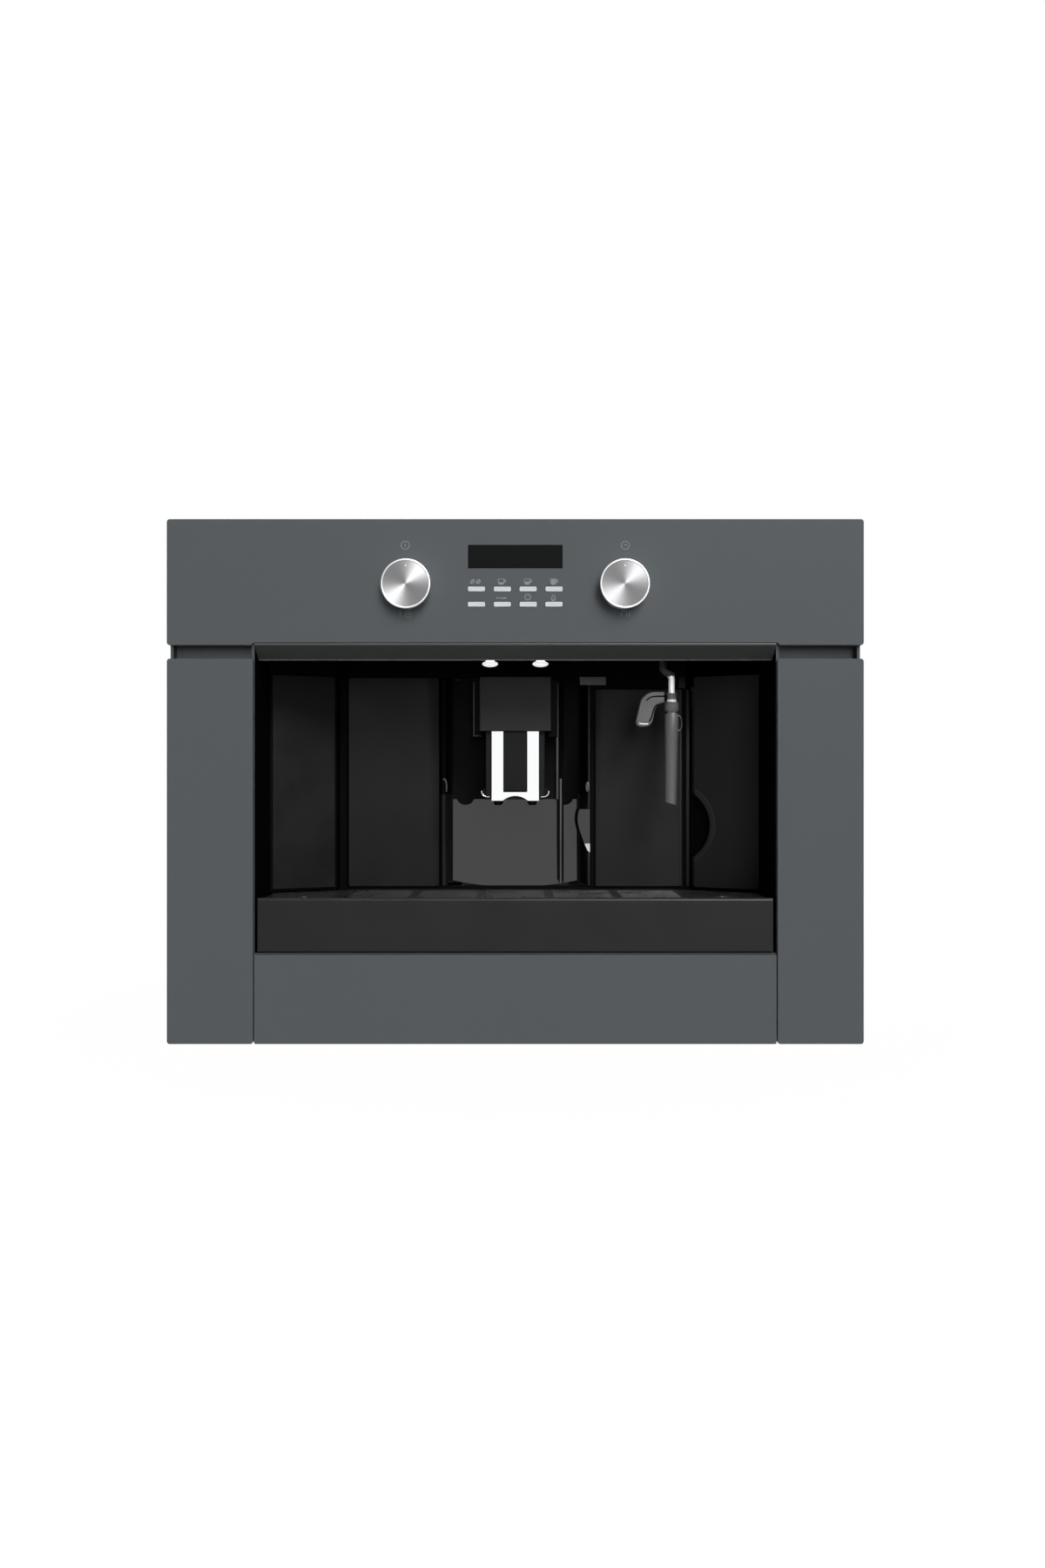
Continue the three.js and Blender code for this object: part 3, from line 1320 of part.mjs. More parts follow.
// Mains inlet: a recessed socket with three blades, flanged against the rear cover.
function powerInlet() {
  const [x, z] = inletCentre;
  const front = caseRear - 24;
  const shell = facing(
    roundedOutline([x - inletHalf[0], x + inletHalf[0]], [z - inletHalf[1], z + inletHalf[1]], 3),
    [front, caseRear],
    3,
  );
  const flange = block(
    [x - inletHalf[0] - 7, x + inletHalf[0] + 7],
    [caseRear - SHEET - SEAT_GAP - 2, caseRear - SHEET - SEAT_GAP],
    [z - inletHalf[1], z + inletHalf[1]],
  );
  const well = facing(
    roundedOutline(
      [x - inletHalf[0] + 1.6, x + inletHalf[0] - 1.6],
      [z - inletHalf[1] + 1.6, z + inletHalf[1] - 1.6],
      2,
    ),
    [front + 4, caseRear + 1],
    3,
  );
  const blades = [
    [-7, -2],
    [0, 3],
    [7, -2],
  ].map(([dx, dz]) => block([x + dx - 1, x + dx + 1], [front + 2, caseRear - 6], [z + dz - 2, z + dz + 2]));
  return joined(cut(joined(shell, flange), well), ...blades);
}
addPiece("power_inlet", powerInlet(), blackPlastic);

// ---------------------------------------------------------------- top cover, hopper, lids
const topUnder = bodyTop + SEAT_GAP;
const topOver = topUnder + SHEET;
const hopperX = [HOPPER_CENTRE[0] - HOPPER_WIDTH / 2, HOPPER_CENTRE[0] + HOPPER_WIDTH / 2];
const hopperY = [HOPPER_CENTRE[1] - HOPPER_LENGTH / 2, HOPPER_CENTRE[1] + HOPPER_LENGTH / 2];
const hopperRim = topOver + SEAT_GAP;
const hopperFoot = topOver - HOPPER_DEPTH;
const rimWidth = 5;
const rimHeight = 2.5;

function topCover() {
  const plate = block([-bodyHalf, bodyHalf], [caseFront, caseRear], [topUnder, topOver]);
  const through = [topUnder - 1, topOver + 1];
  const hopperHole = block(
    [hopperX[0] - SEAT_GAP, hopperX[1] + SEAT_GAP],
    [hopperY[0] - SEAT_GAP, hopperY[1] + SEAT_GAP],
    through,
  );
  const dialHole = post(DIAL_CENTRE, 4 + RUN_GAP, through);
  const funnelHalf = FUNNEL_WIDTH / 2 - 6;
  const funnelHole = block(
    [FUNNEL_CENTRE[0] - funnelHalf, FUNNEL_CENTRE[0] + funnelHalf],
    [FUNNEL_CENTRE[1] - funnelHalf, FUNNEL_CENTRE[1] + funnelHalf],
    [topUnder - FUNNEL_COLLAR - 1, topOver + 1],
  );
  const collar = block(
    [FUNNEL_CENTRE[0] - funnelHalf - SHEET, FUNNEL_CENTRE[0] + funnelHalf + SHEET],
    [FUNNEL_CENTRE[1] - funnelHalf - SHEET, FUNNEL_CENTRE[1] + funnelHalf + SHEET],
    [topUnder - FUNNEL_COLLAR, topUnder + 0.1],
  );
  return cut(joined(plate, collar), hopperHole, dialHole, funnelHole);
}
addPiece("top_cover", topCover(), zincSteel);

// Bean hopper: a square mouth with a rim on the cover, narrowing in steps to the grinder.
const throatRadius = 20;
const throatZ = hopperFoot - 6;
function beanHopper() {
  const rim = block(
    [hopperX[0] - rimWidth, hopperX[1] + rimWidth],
    [hopperY[0] - rimWidth, hopperY[1] + rimWidth],
    [hopperRim, hopperRim + rimHeight],
  );
  const box = block(hopperX, hopperY, [hopperFoot, hopperRim + 0.5]);
  const throat = post(HOPPER_CENTRE, throatRadius + MOULD_WALL, [throatZ, hopperFoot + 1]);
  const [cx, cy] = HOPPER_CENTRE;
  const mouthPoints = [];
  const levels = [
    [hopperRim + rimHeight + 1, HOPPER_WIDTH / 2 - MOULD_WALL, HOPPER_LENGTH / 2 - MOULD_WALL],
    [hopperFoot + 30, HOPPER_WIDTH / 2 - MOULD_WALL, HOPPER_LENGTH / 2 - MOULD_WALL],
    [hopperFoot + 3, throatRadius, throatRadius],
  ];
  levels.forEach(([z, halfX, halfY]) => {
    [[-1, -1], [1, -1], [1, 1], [-1, 1]].forEach(([sx, sy]) =>
      mouthPoints.push([cx + sx * halfX, cy + sy * halfY, z]),
    );
  });
  const bore = post(HOPPER_CENTRE, throatRadius - 2, [throatZ - 1, hopperFoot + 4]);
  return cut(joined(rim, box, throat), loft(mouthPoints), bore);
}

// A solid through stacked rings of four corners, listed from the top ring down.
function loft(corners) {
  const rings = corners.length / 4;
  const index = [0, 1, 2, 0, 2, 3];
  for (let ring = 0; ring < rings - 1; ring++) {
    for (let side = 0; side < 4; side++) {
      const a = ring * 4 + side;
      const b = ring * 4 + ((side + 1) % 4);
      index.push(a, a + 4, b, b, a + 4, b + 4);
    }
  }
  const last = (rings - 1) * 4;
  index.push(last, last + 2, last + 1, last, last + 3, last + 2);
  const geometry = new THREE.BufferGeometry();
  geometry.setAttribute("position", new THREE.Float32BufferAttribute(corners.flat(), 3));
  geometry.setIndex(index);
  return solidOf(geometry);
}
addPiece("bean_hopper", beanHopper(), smokedClear);

// Hinged lids. Each is a shallow cap with a round bead along its rear edge, where it turns.
const lidSkirt = 7;
const lidSheet = 2;
const beadRadius = 2.4;
function lidOver([x0, x1], [y0, y1], seat) {
  const top = seat + SEAT_GAP + lidSkirt;
  const cap = cut(
    block([x0, x1], [y0, y1], [seat + SEAT_GAP, top]),
    block(
      [x0 + lidSheet, x1 - lidSheet],
      [y0 + lidSheet, y1 - lidSheet],
      [seat - 1, top - lidSheet],
    ),
  );
  const tab = block([(x0 + x1) / 2 - 10, (x0 + x1) / 2 + 10], [y0 - 5, y0 + 1], [top - 2.4, top - 0.4]);
  const bead = rodAlongX([y1 + 1.6, seat + SEAT_GAP + beadRadius], beadRadius, [x0 + 8, x1 - 8], 16);
  return joined(cap, tab, bead);
}
addPiece(
  "hopper_lid",
  lidOver(
    [hopperX[0] - rimWidth, hopperX[1] + rimWidth],
    [hopperY[0] - rimWidth, hopperY[1] + rimWidth],
    hopperRim + rimHeight,
  ),
  smokedClear,
);
const funnelSpan = (axis) => [
  FUNNEL_CENTRE[axis] - FUNNEL_WIDTH / 2,
  FUNNEL_CENTRE[axis] + FUNNEL_WIDTH / 2,
];
addPiece("funnel_lid", lidOver(funnelSpan(0), funnelSpan(1), topOver), blackPlastic);

// Grind dial: a fluted knob on a shaft through the cover.
function grindDial() {
  const foot = topOver + SEAT_GAP;
  const body = turned(
    [
      [0, foot - 8],
      [4, foot - 8],
      [4, foot],
      [DIAL_RADIUS, foot],
      [DIAL_RADIUS, foot + 9],
      [DIAL_RADIUS - 1.5, foot + 11],
      [0, foot + 11],
    ],
    DIAL_CENTRE,
    36,
  );
  const flutes = Array.from({ length: 12 }, (_, i) => {
    const turn = (i / 12) * 2 * Math.PI;
    const place = [
      DIAL_CENTRE[0] + (DIAL_RADIUS + 1) * Math.cos(turn),
      DIAL_CENTRE[1] + (DIAL_RADIUS + 1) * Math.sin(turn),
    ];
    return post(place, 2.4, [foot + 2, foot + 12], 8);
  });
  return cut(body, ...flutes);
}
addPiece("grind_dial", grindDial(), blackPlastic);

// ---------------------------------------------------------------- inner works
// Shelf behind the alcove on four legs. The grounds bin, brew unit and boiler stand on it.
const shelfTop = sill - MOULD_WALL - SEAT_GAP;
const shelfFront = jambBack + SEAT_GAP;
const shelfRear = caseRear - SHELF_SETBACK;
const shelfHalf = bayLeft - MOULD_WALL - RUN_GAP;
const baseTop = BODY_BOTTOM + SHEET + SEAT_GAP;
const shelfSheet = 2;

function serviceShelf() {
  const plate = block([-shelfHalf, shelfHalf], [shelfFront, shelfRear], [shelfTop - shelfSheet, shelfTop]);
  const legs = [-1, 1].flatMap((side) =>
    [shelfFront + 8, shelfRear - 8].map((y) =>
      block(
        [side * (shelfHalf - 8) - 6, side * (shelfHalf - 8) + 6],
        [y - 6, y + 6],
        [baseTop, shelfTop - shelfSheet + 0.1],
      ),
    ),
  );
  return joined(plate, ...legs);
}
addPiece("service_shelf", serviceShelf(), zincSteel);

// Grounds bin with a sloping front lip, open above, reached when the door is open.
const binFront = doorFlat + DOOR_WALL + 4;
const binBottom = shelfTop + SEAT_GAP;
function groundsBin() {
  const half = BIN_WIDTH / 2;
  const outer = block([-half, half], [binFront, binFront + BIN_LENGTH], [binBottom, binBottom + BIN_HEIGHT]);
  const inner = block(
    [TRAY_WALL - half, half - TRAY_WALL],
    [binFront + TRAY_WALL, binFront + BIN_LENGTH - TRAY_WALL],
    [binBottom + TRAY_WALL, binBottom + BIN_HEIGHT + 1],
  );
  const slope = across(
    outline([
      [binFront - 1, binBottom + BIN_HEIGHT - 12],
      [binFront + 24, binBottom + BIN_HEIGHT + 1],
      [binFront - 1, binBottom + BIN_HEIGHT + 1],
    ]),
    [-half - 1, half + 1],
  );
  return cut(outer, inner, slope);
}
addPiece("grounds_bin", groundsBin(), satinPlastic);

// Brew unit: piston cylinder in a cradle, on two side plates that straddle the bin.
function brewUnit() {
  const half = BREW_WIDTH / 2;
  const y0 = binFront + 6;
  const y1 = y0 + BREW_DEPTH;
  const foot = binBottom + BIN_HEIGHT + 6;
  const top = foot + BREW_HEIGHT;
  const cradle = block([-half, half], [y0, y1], [foot, foot + 34]);
  const spine = block([-half, half], [y1 - 10, y1], [foot, top]);
  const cylinder = post([0, (y0 + y1) / 2 - 4], half - 9, [foot + 30, top - 12], 28);
  const piston = post([0, (y0 + y1) / 2 - 4], half - 16, [top - 13, top], 24);
  const sideGap = BIN_WIDTH / 2 + SEAT_GAP + 1;
  const plates = [-1, 1].map((side) =>
    joined(
      block(
        side < 0 ? [-sideGap - 3, -sideGap] : [sideGap, sideGap + 3],
        [y1 - 30, y1],
        [shelfTop + SEAT_GAP, foot + 20],
      ),
      block(
        side < 0 ? [-sideGap - 1, 1 - half] : [half - 1, sideGap + 1],
        [y1 - 30, y1],
        [foot + 12, foot + 20],
      ),
    ),
  );
  return joined(cradle, spine, cylinder, piston, ...plates);
}
addPiece("brew_unit", brewUnit(), whitePlastic);

// Boiler: domed pressure vessel on a flange.
const boilerPlace = [
  BOILER_RADIUS + BOILER_PLACE[0] - shelfHalf,
  shelfFront + BOILER_RADIUS + BOILER_PLACE[1],
];
addPiece(
  "boiler",
  turned(
    [
      [0, shelfTop + SEAT_GAP],
      [BOILER_RADIUS + 6, shelfTop + SEAT_GAP],
      [BOILER_RADIUS + 6, shelfTop + 4],
      [BOILER_RADIUS, shelfTop + 5],
      [BOILER_RADIUS, shelfTop + BOILER_HEIGHT - 14],
      [BOILER_RADIUS * 0.8, shelfTop + BOILER_HEIGHT - 4],
      [BOILER_RADIUS * 0.3, shelfTop + BOILER_HEIGHT],
      [0, shelfTop + BOILER_HEIGHT],
    ],
    boilerPlace,
    32,
  ),
  brass,
);

// Vibration pump lying on two saddles on the base.
function pump() {
  const x = 0;
  const y0 = shelfFront + PUMP_SETBACK;
  const z = baseTop + PUMP_RADIUS + 6;
  const barrel = rodAlongY([x, z], PUMP_RADIUS, [y0, y0 + PUMP_LENGTH]);
  const snout = rodAlongY([x, z], 6, [y0 + PUMP_LENGTH - 1, y0 + PUMP_LENGTH + 18], 16);
  const saddles = [12, PUMP_LENGTH - 24].map((step) =>
    block([x - 16, x + 16], [y0 + step, y0 + step + 12], [baseTop, z]),
  );
  return joined(barrel, snout, ...saddles);
}
addPiece("pump", pump(), blackPlastic);

// Grinder: burr collar under the hopper throat, gearbox and motor below it.
function grinder() {
  const top = throatZ - SEAT_GAP;
  const [x, y] = HOPPER_CENTRE;
  return turned(
    [
      [0, top - GRINDER_HEIGHT],
      [GRINDER_RADIUS * 0.7, top - GRINDER_HEIGHT],
      [GRINDER_RADIUS * 0.7, top - 40],
      [GRINDER_RADIUS + 6, top - 40],
      [GRINDER_RADIUS + 6, top - 26],
      [GRINDER_RADIUS, top - 24],
      [GRINDER_RADIUS, top],
      [0, top],
    ],
    [x, y],
    36,
  );
}
addPiece("grinder", grinder(), blackPlastic);

// ---------------------------------------------------------------- origin
// Middle of the footprint, from the knob faces to the back of the casing.
const foremost = glassFront - 1 - KNOB_LENGTH;
machine.position.y = -(foremost + caseRear) / 2;

export default machine;
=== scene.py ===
import json
import math

import bpy
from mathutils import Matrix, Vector

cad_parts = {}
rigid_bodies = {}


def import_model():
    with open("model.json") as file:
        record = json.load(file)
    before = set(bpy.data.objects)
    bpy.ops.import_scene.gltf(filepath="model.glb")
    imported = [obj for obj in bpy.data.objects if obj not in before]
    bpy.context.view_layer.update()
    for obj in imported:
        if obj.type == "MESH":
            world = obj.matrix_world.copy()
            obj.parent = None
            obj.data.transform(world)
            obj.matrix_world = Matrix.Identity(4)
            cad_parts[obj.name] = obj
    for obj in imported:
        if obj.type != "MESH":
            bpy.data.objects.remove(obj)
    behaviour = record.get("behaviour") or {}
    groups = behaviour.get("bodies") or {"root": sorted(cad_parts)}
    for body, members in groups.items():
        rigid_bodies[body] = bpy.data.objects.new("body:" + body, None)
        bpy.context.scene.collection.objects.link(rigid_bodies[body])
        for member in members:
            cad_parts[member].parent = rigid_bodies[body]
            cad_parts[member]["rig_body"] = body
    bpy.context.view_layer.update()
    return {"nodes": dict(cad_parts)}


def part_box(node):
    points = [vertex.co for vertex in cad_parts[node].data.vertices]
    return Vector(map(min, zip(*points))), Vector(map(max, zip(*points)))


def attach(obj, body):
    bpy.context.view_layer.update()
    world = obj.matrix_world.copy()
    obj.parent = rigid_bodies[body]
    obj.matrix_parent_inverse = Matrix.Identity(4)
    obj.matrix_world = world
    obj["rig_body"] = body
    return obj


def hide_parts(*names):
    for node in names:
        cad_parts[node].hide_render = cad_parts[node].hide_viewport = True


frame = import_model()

nodes = frame["nodes"]
bpy.ops.object.select_all(action="DESELECT")

# ---- telescopic rails
# Three nested channels a side, roll-formed from zinc-plated strip. The outer one is screwed to
# the cabinet and the inner one to the casing. The middle one runs between them on balls.
MIX_A, MIX_B, MIX_RESULT = 6, 7, 2  # the colour sockets of a Mix node


def paint(red, green, blue):
    """A colour as a screen shows it, 0 to 255, turned into the light that the shader wants."""
    share = [v / 255 for v in (red, green, blue)]
    return (*[v / 12.92 if v <= 0.04045 else ((v + 0.055) / 1.055) ** 2.4 for v in share], 1)


def grey(level):
    return paint(level, level, level)


def adjusted(thing, settings):
    for label, setting in settings.items():
        setattr(thing, label, setting)
    return thing


def set_inputs(node, values):
    for label, value in values.items():
        node.inputs[label].default_value = value
    return node


def new_node(tree, kind, inputs=None, **settings):
    """A node of a tree, with its settings and the values of its inputs."""
    return set_inputs(adjusted(tree.nodes.new(f"ShaderNode{kind}"), settings), inputs or {})


def link(tree, *runs):
    """Links a tree's nodes. A run names a node, its output, the next node and its input."""
    for source, output, target, entry in runs:
        tree.links.new(source.outputs[output], target.inputs[entry])


def new_effect(name, numbers, results):
    """An empty node group that takes a position and named numbers, and its two end nodes."""
    group = bpy.data.node_groups.new(name, "ShaderNodeTree")
    group.interface.new_socket("Position", in_out="INPUT", socket_type="NodeSocketVector")
    for label, usual in numbers.items():
        socket = group.interface.new_socket(label, in_out="INPUT", socket_type="NodeSocketFloat")
        socket.default_value = usual
    for label in results:
        group.interface.new_socket(label, in_out="OUTPUT", socket_type="NodeSocketFloat")
    return group, group.nodes.new("NodeGroupInput"), group.nodes.new("NodeGroupOutput")


# The grain of a rolled or moulded surface: a fine height and a slower, cloudy tone.
surface_grain, given, result = new_effect(
    "surface_grain", {"Grains": 900, "Clouds": 25}, ("Height", "Tone"))
fine = new_node(surface_grain, "TexNoise", {"Detail": 3})
slow = new_node(surface_grain, "TexNoise", {"Detail": 4})
spread = new_node(surface_grain, "MapRange", {"From Min": 0.35, "From Max": 0.65})
link(surface_grain, (given, "Position", fine, "Vector"), (given, "Grains", fine, "Scale"),
     (given, "Position", slow, "Vector"), (given, "Clouds", slow, "Scale"),
     (slow, "Fac", spread, "Value"), (fine, "Fac", result, "Height"), (spread, "Result", result, "Tone"))

# Dust that settles on what faces up, in a thin uneven film.
settled_dust, given, result = new_effect("settled_dust", {"Amount": 0.1, "Patches": 60}, ("Dust",))
facing = new_node(settled_dust, "NewGeometry")
upward = new_node(settled_dust, "SeparateXYZ")
patches = new_node(settled_dust, "TexNoise", {"Detail": 6})
level = new_node(settled_dust, "MapRange", {"From Min": 0.6})
film = new_node(settled_dust, "Math", operation="MULTIPLY")
thin = new_node(settled_dust, "Math", operation="MULTIPLY")
link(settled_dust, (facing, "Normal", upward, "Vector"), (upward, "Z", level, "Value"),
     (given, "Position", patches, "Vector"), (given, "Patches", patches, "Scale"),
     (level, "Result", film, 0), (patches, "Fac", film, 1),
     (film, "Value", thin, 0), (given, "Amount", thin, 1), (thin, "Value", result, "Dust"))


def new_material(name, values):
    """A material with these values in its Principled shader, its tree and that shader."""
    material = bpy.data.materials.new(name)
    material.use_nodes = True
    tree = material.node_tree
    return material, tree, set_inputs(tree.nodes["Principled BSDF"], values)


def roughen(tree, shader, grain, smoothest, roughest, strength, height):
    """Uneven gloss from a grain's tone, and relief from its height."""
    gloss = new_node(tree, "MapRange", {"To Min": smoothest, "To Max": roughest})
    bump = new_node(tree, "Bump", {"Strength": strength, "Distance": height})
    link(tree, (grain, "Tone", gloss, "Value"), (gloss, "Result", shader, "Roughness"),
         (grain, "Height", bump, "Height"), (bump, "Normal", shader, "Normal"))


def new_finish(name, colour, roughness, metallic=0.0, specular=0.5, *, grains, tone, height=0.00002,
               clouds=25, spread=0.05, stretch=(1, 1, 1), dust=0.08):
    """A surface with its grain, a cloudy tone, uneven gloss and a little dust on what faces up."""
    material, tree, shader = new_material(name, {"Metallic": metallic, "Specular IOR Level": specular})
    place = new_node(tree, "TexCoord")
    turn = new_node(tree, "Mapping", {"Scale": stretch})
    grain = new_node(tree, "Group", {"Grains": grains, "Clouds": clouds}, node_tree=surface_grain)
    cloudy = new_node(tree, "Mix", {MIX_A: colour, MIX_B: (*[v * tone for v in colour[:3]], 1)},
                      data_type="RGBA")
    film = new_node(tree, "Group", {"Amount": dust}, node_tree=settled_dust)
    dusty = new_node(tree, "Mix", {MIX_B: paint(150, 147, 142)}, data_type="RGBA")
    link(tree, (place, "Object", turn, "Vector"), (turn, "Vector", grain, "Position"),
         (place, "Object", film, "Position"), (grain, "Tone", cloudy, 0), (film, "Dust", dusty, 0),
         (cloudy, MIX_RESULT, dusty, MIX_A), (dusty, MIX_RESULT, shader, "Base Color"))
    roughen(tree, shader, grain, max(roughness - spread, 0.02), roughness + spread, 0.5, height)
    return material


def dress(material, *names):
    """Gives CAD pieces their finish."""
    for name in names:
        piece = nodes[name]
        if not piece.material_slots:
            piece.data.materials.append(material)
        piece.material_slots[0].material = material


zinc_plate = new_finish("zinc_plate", paint(170, 173, 175), 0.42, 0.9, grains=700, clouds=90,
                        tone=0.82, spread=0.08, stretch=(1, 0.06, 1))
for side in ("left", "right"):
    dress(zinc_plate, f"rail_outer_{side}", f"rail_middle_{side}", f"rail_inner_{side}")

# ---- casing
# Folded tray, two side covers, rear and top cover of bare galvanised sheet 1.2 mm thick, held
# by pan-head screws with a round recess. The cooling slots are punched.
casing_sheet = new_finish("casing_sheet", paint(158, 162, 164), 0.5, 0.85, grains=420, clouds=140,
                          tone=0.9, spread=0.05)
dress(casing_sheet, "chassis_base", "side_cover_left", "side_cover_right", "rear_cover", "top_cover",
      "service_shelf")


def deselect():
    bpy.ops.object.select_all(action="DESELECT")


def only(piece):
    """Selects one piece and makes it the one to work on."""
    deselect()
    piece.select_set(True)
    bpy.context.view_layer.objects.active = piece


def apply_place(piece):
    only(piece)
    bpy.ops.object.transform_apply(location=True, rotation=True, scale=True)


def edit_all(piece):
    """Opens a piece in Edit Mode with all of it selected."""
    only(piece)
    bpy.ops.object.mode_set(mode="EDIT")
    bpy.ops.mesh.select_all(action="SELECT")


def object_mode():
    bpy.ops.object.mode_set(mode="OBJECT")


WELD = 1e-6  # vertices nearer than this are one


def settle(piece, name, material, body, smooth=30):
    """Puts a finished piece's place into its mesh, and gives it its name, finish and body."""
    apply_place(piece)
    edit_all(piece)
    bpy.ops.mesh.remove_doubles(threshold=WELD)
    bpy.ops.mesh.normals_make_consistent(inside=False)
    object_mode()
    bpy.ops.object.shade_smooth_by_angle(angle=math.radians(smooth))
    piece.name = name
    piece.data.materials.clear()
    piece.data.materials.append(material)
    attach(piece, body)
    return piece


def pick_faces(piece, wanted):
    """Selects the faces of the piece whose centre and normal the test wants."""
    object_mode()
    for part in (*piece.data.edges, *piece.data.vertices):
        part.select = False
    for face in piece.data.polygons:
        face.select = wanted(face.center, face.normal)
    bpy.ops.object.mode_set(mode="EDIT")
    bpy.ops.mesh.select_mode(type="FACE")


def joined_pieces(pieces):
    """Joins pieces into the first of them."""
    deselect()
    for piece in pieces:
        piece.select_set(True)
    bpy.context.view_layer.objects.active = pieces[0]
    bpy.ops.object.join()
    return bpy.context.object


HEAD_RADIUS, HEAD_HEIGHT = 0.0034, 0.0016
screw_zinc = new_finish("screw_zinc", paint(188, 186, 178), 0.32, 1.0, grains=1500, tone=0.85)


def screws(name, turn, places):
    """Screws whose heads stand along their own +Z, centred on the places given."""
    heads = []
    for place in places:
        deselect()
        bpy.ops.mesh.primitive_cylinder_add(
            vertices=24, radius=HEAD_RADIUS, depth=HEAD_HEIGHT, location=place, rotation=turn)
        heads.append(bpy.context.object)
        pick_faces(heads[-1], lambda centre, normal: normal.z > 0.9)
        bpy.ops.mesh.inset(thickness=HEAD_RADIUS * 0.22, depth=0.0005)
        bpy.ops.mesh.inset(thickness=HEAD_RADIUS * 0.3, depth=0)
        bpy.ops.mesh.inset(thickness=0.00005, depth=-0.0012)
        object_mode()
    settle(joined_pieces(heads), name, screw_zinc, "machine")


low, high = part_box("rear_cover")
edge = 0.011
screws("rear_screws", (-math.pi / 2, 0, 0), [
    (x, high.y + HEAD_HEIGHT / 2, z)
    for x in (low.x + edge, 0, high.x - edge) for z in (low.z + edge, high.z - edge)])
low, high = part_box("top_cover")
screws("top_screws", (0, 0, 0), [
    (x, y, high.z + HEAD_HEIGHT / 2) for x in (low.x + edge, high.x - edge)
    for y in (low.y + 0.03, (low.y + high.y) / 2, high.y - 0.03)])
SIDES = (("left", -1), ("right", 1))
for side, sign in SIDES:
    low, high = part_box(f"side_cover_{side}")
    outer = sign * max(abs(low.x), abs(high.x)) + sign * HEAD_HEIGHT / 2
    screws(f"side_screws_{side}", (0, sign * math.pi / 2, 0), [
        (outer, y, z) for y in (low.y + 0.02, high.y - edge) for z in (low.z + edge, high.z - edge)])

# ---- works behind the alcove
# Brass boiler, black pump and grinder, white brew unit, and a green circuit board with its
# switches. Only the open casing shows them.
boiler_brass = new_finish("boiler_brass", paint(186, 152, 98), 0.34, 0.95, grains=300, tone=0.8,
                          stretch=(0.2, 0.2, 3))
works_black = new_finish("works_black", paint(26, 26, 27), 0.55, grains=1100, tone=0.8)
brew_white = new_finish("brew_white", paint(206, 206, 200), 0.45, grains=1100, tone=0.94)
board_green = new_finish("board_green", paint(30, 84, 56), 0.4, grains=600, tone=0.75)
dress(boiler_brass, "boiler")
dress(works_black, "pump", "grinder", "power_inlet")
dress(brew_white, "brew_unit")
dress(board_green, "control_board")

# ---- alcove liner
# One large moulding of black ABS with a fine spark-eroded grain. It is the walls, ceiling and
# tray bay of the alcove, and the box that the water tank stands in.
alcove_black = new_finish("alcove_black", paint(4, 4, 4), 0.55, specular=0.02, grains=1400,
                          tone=0.8, dust=0.005)
frame_black = new_finish("frame_black", paint(75, 77, 79), 0.5, specular=0.1, grains=1400, tone=0.94)
dress(alcove_black, "alcove_liner")


def modify(piece, kind, **settings):
    """Adds a modifier with its settings and applies it."""
    only(piece)
    adjusted(piece.modifiers.new("step", kind), settings)
    bpy.ops.object.modifier_apply(modifier="step")


def eased_copy(node, material, width, steps, angle=30, smooth=35):
    """A copy of a CAD piece with its sharp corners broken, standing in for it."""
    piece = bpy.data.objects.new(f"{node}_eased", nodes[node].data.copy())
    bpy.context.scene.collection.objects.link(piece)
    edit_all(piece)
    bpy.ops.mesh.remove_doubles(threshold=1e-5)
    bpy.ops.mesh.dissolve_limited(angle_limit=math.radians(0.5))
    object_mode()
    modify(piece, "BEVEL", width=width, segments=steps, limit_method="ANGLE",
           angle_limit=math.radians(angle), use_clamp_overlap=True)
    settle(piece, f"{node}_eased", material, nodes[node]["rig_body"], smooth)
    modify(piece, "WEIGHTED_NORMAL", keep_sharp=True)
    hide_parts(node)
    return piece


def second_finish(piece, material, wanted):
    """Gives the faces of a piece that the test wants another finish."""
    piece.data.materials.append(material)
    last = len(piece.data.materials) - 1
    for face in piece.data.polygons:
        if wanted(face.center, face.normal):
            face.material_index = last


frame_piece = eased_copy("front_frame", frame_black, 0.0003, 2)
opening_half, opening_foot, opening_top = 0.2245, 0.07, 0.342
# Painted shade: the frame's walls inside the opening, and a strip along its edges, take the liner's
# near-black.
second_finish(frame_piece, alcove_black, lambda centre, normal: (
    abs(centre.x) < opening_half and opening_foot < centre.z < opening_top
    and (abs(normal.x) > 0.5 or abs(centre.x) > opening_half - 0.0020)))
low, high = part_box("front_frame")
slot_low, slot_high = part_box("side_fascia_left")[1].z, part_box("control_fascia")[0].z
for side, sign in SIDES:
    deselect()
    bpy.ops.mesh.primitive_cube_add(size=1, location=(
        sign * (high.x - 0.0013), (low.y + high.y) / 2 + 0.0004, (slot_low + slot_high) / 2))
    end_wall = bpy.context.object
    end_wall.scale = (0.0026, high.y - low.y - 0.0008, slot_high - slot_low + 0.002)
    settle(end_wall, f"slot_end_{side}", frame_black, "machine")

# ---- satin wall panels
# Thin satin plates snapped to the left wing and both back walls. The back plates are painted
# darker past a slanting line near their inner edges, towards the door: painted shade.
# Painted shade: darkens a plate's colour past a line that slants with height.
painted_edge_shade, given, result = new_effect(
    "painted_edge_shade", {"Middle": 0.08, "Slope": 0.036, "Side": 1}, ("Light",))
parts = new_node(painted_edge_shade, "SeparateXYZ")
lean = new_node(painted_edge_shade, "Math", operation="MULTIPLY_ADD")
mirror = new_node(painted_edge_shade, "Math", operation="MULTIPLY_ADD")
fall = new_node(painted_edge_shade, "MapRange", {"From Min": -0.0045, "From Max": 0.0045},
                interpolation_type="SMOOTHSTEP")
link(painted_edge_shade, (given, "Position", parts, "Vector"), (parts, "Z", lean, 0), (given, "Slope", lean, 1),
     (given, "Middle", lean, 2), (parts, "X", mirror, 0), (given, "Side", mirror, 1),
     (lean, "Value", mirror, 2), (mirror, "Value", fall, "Value"), (fall, "Result", result, "Light"))


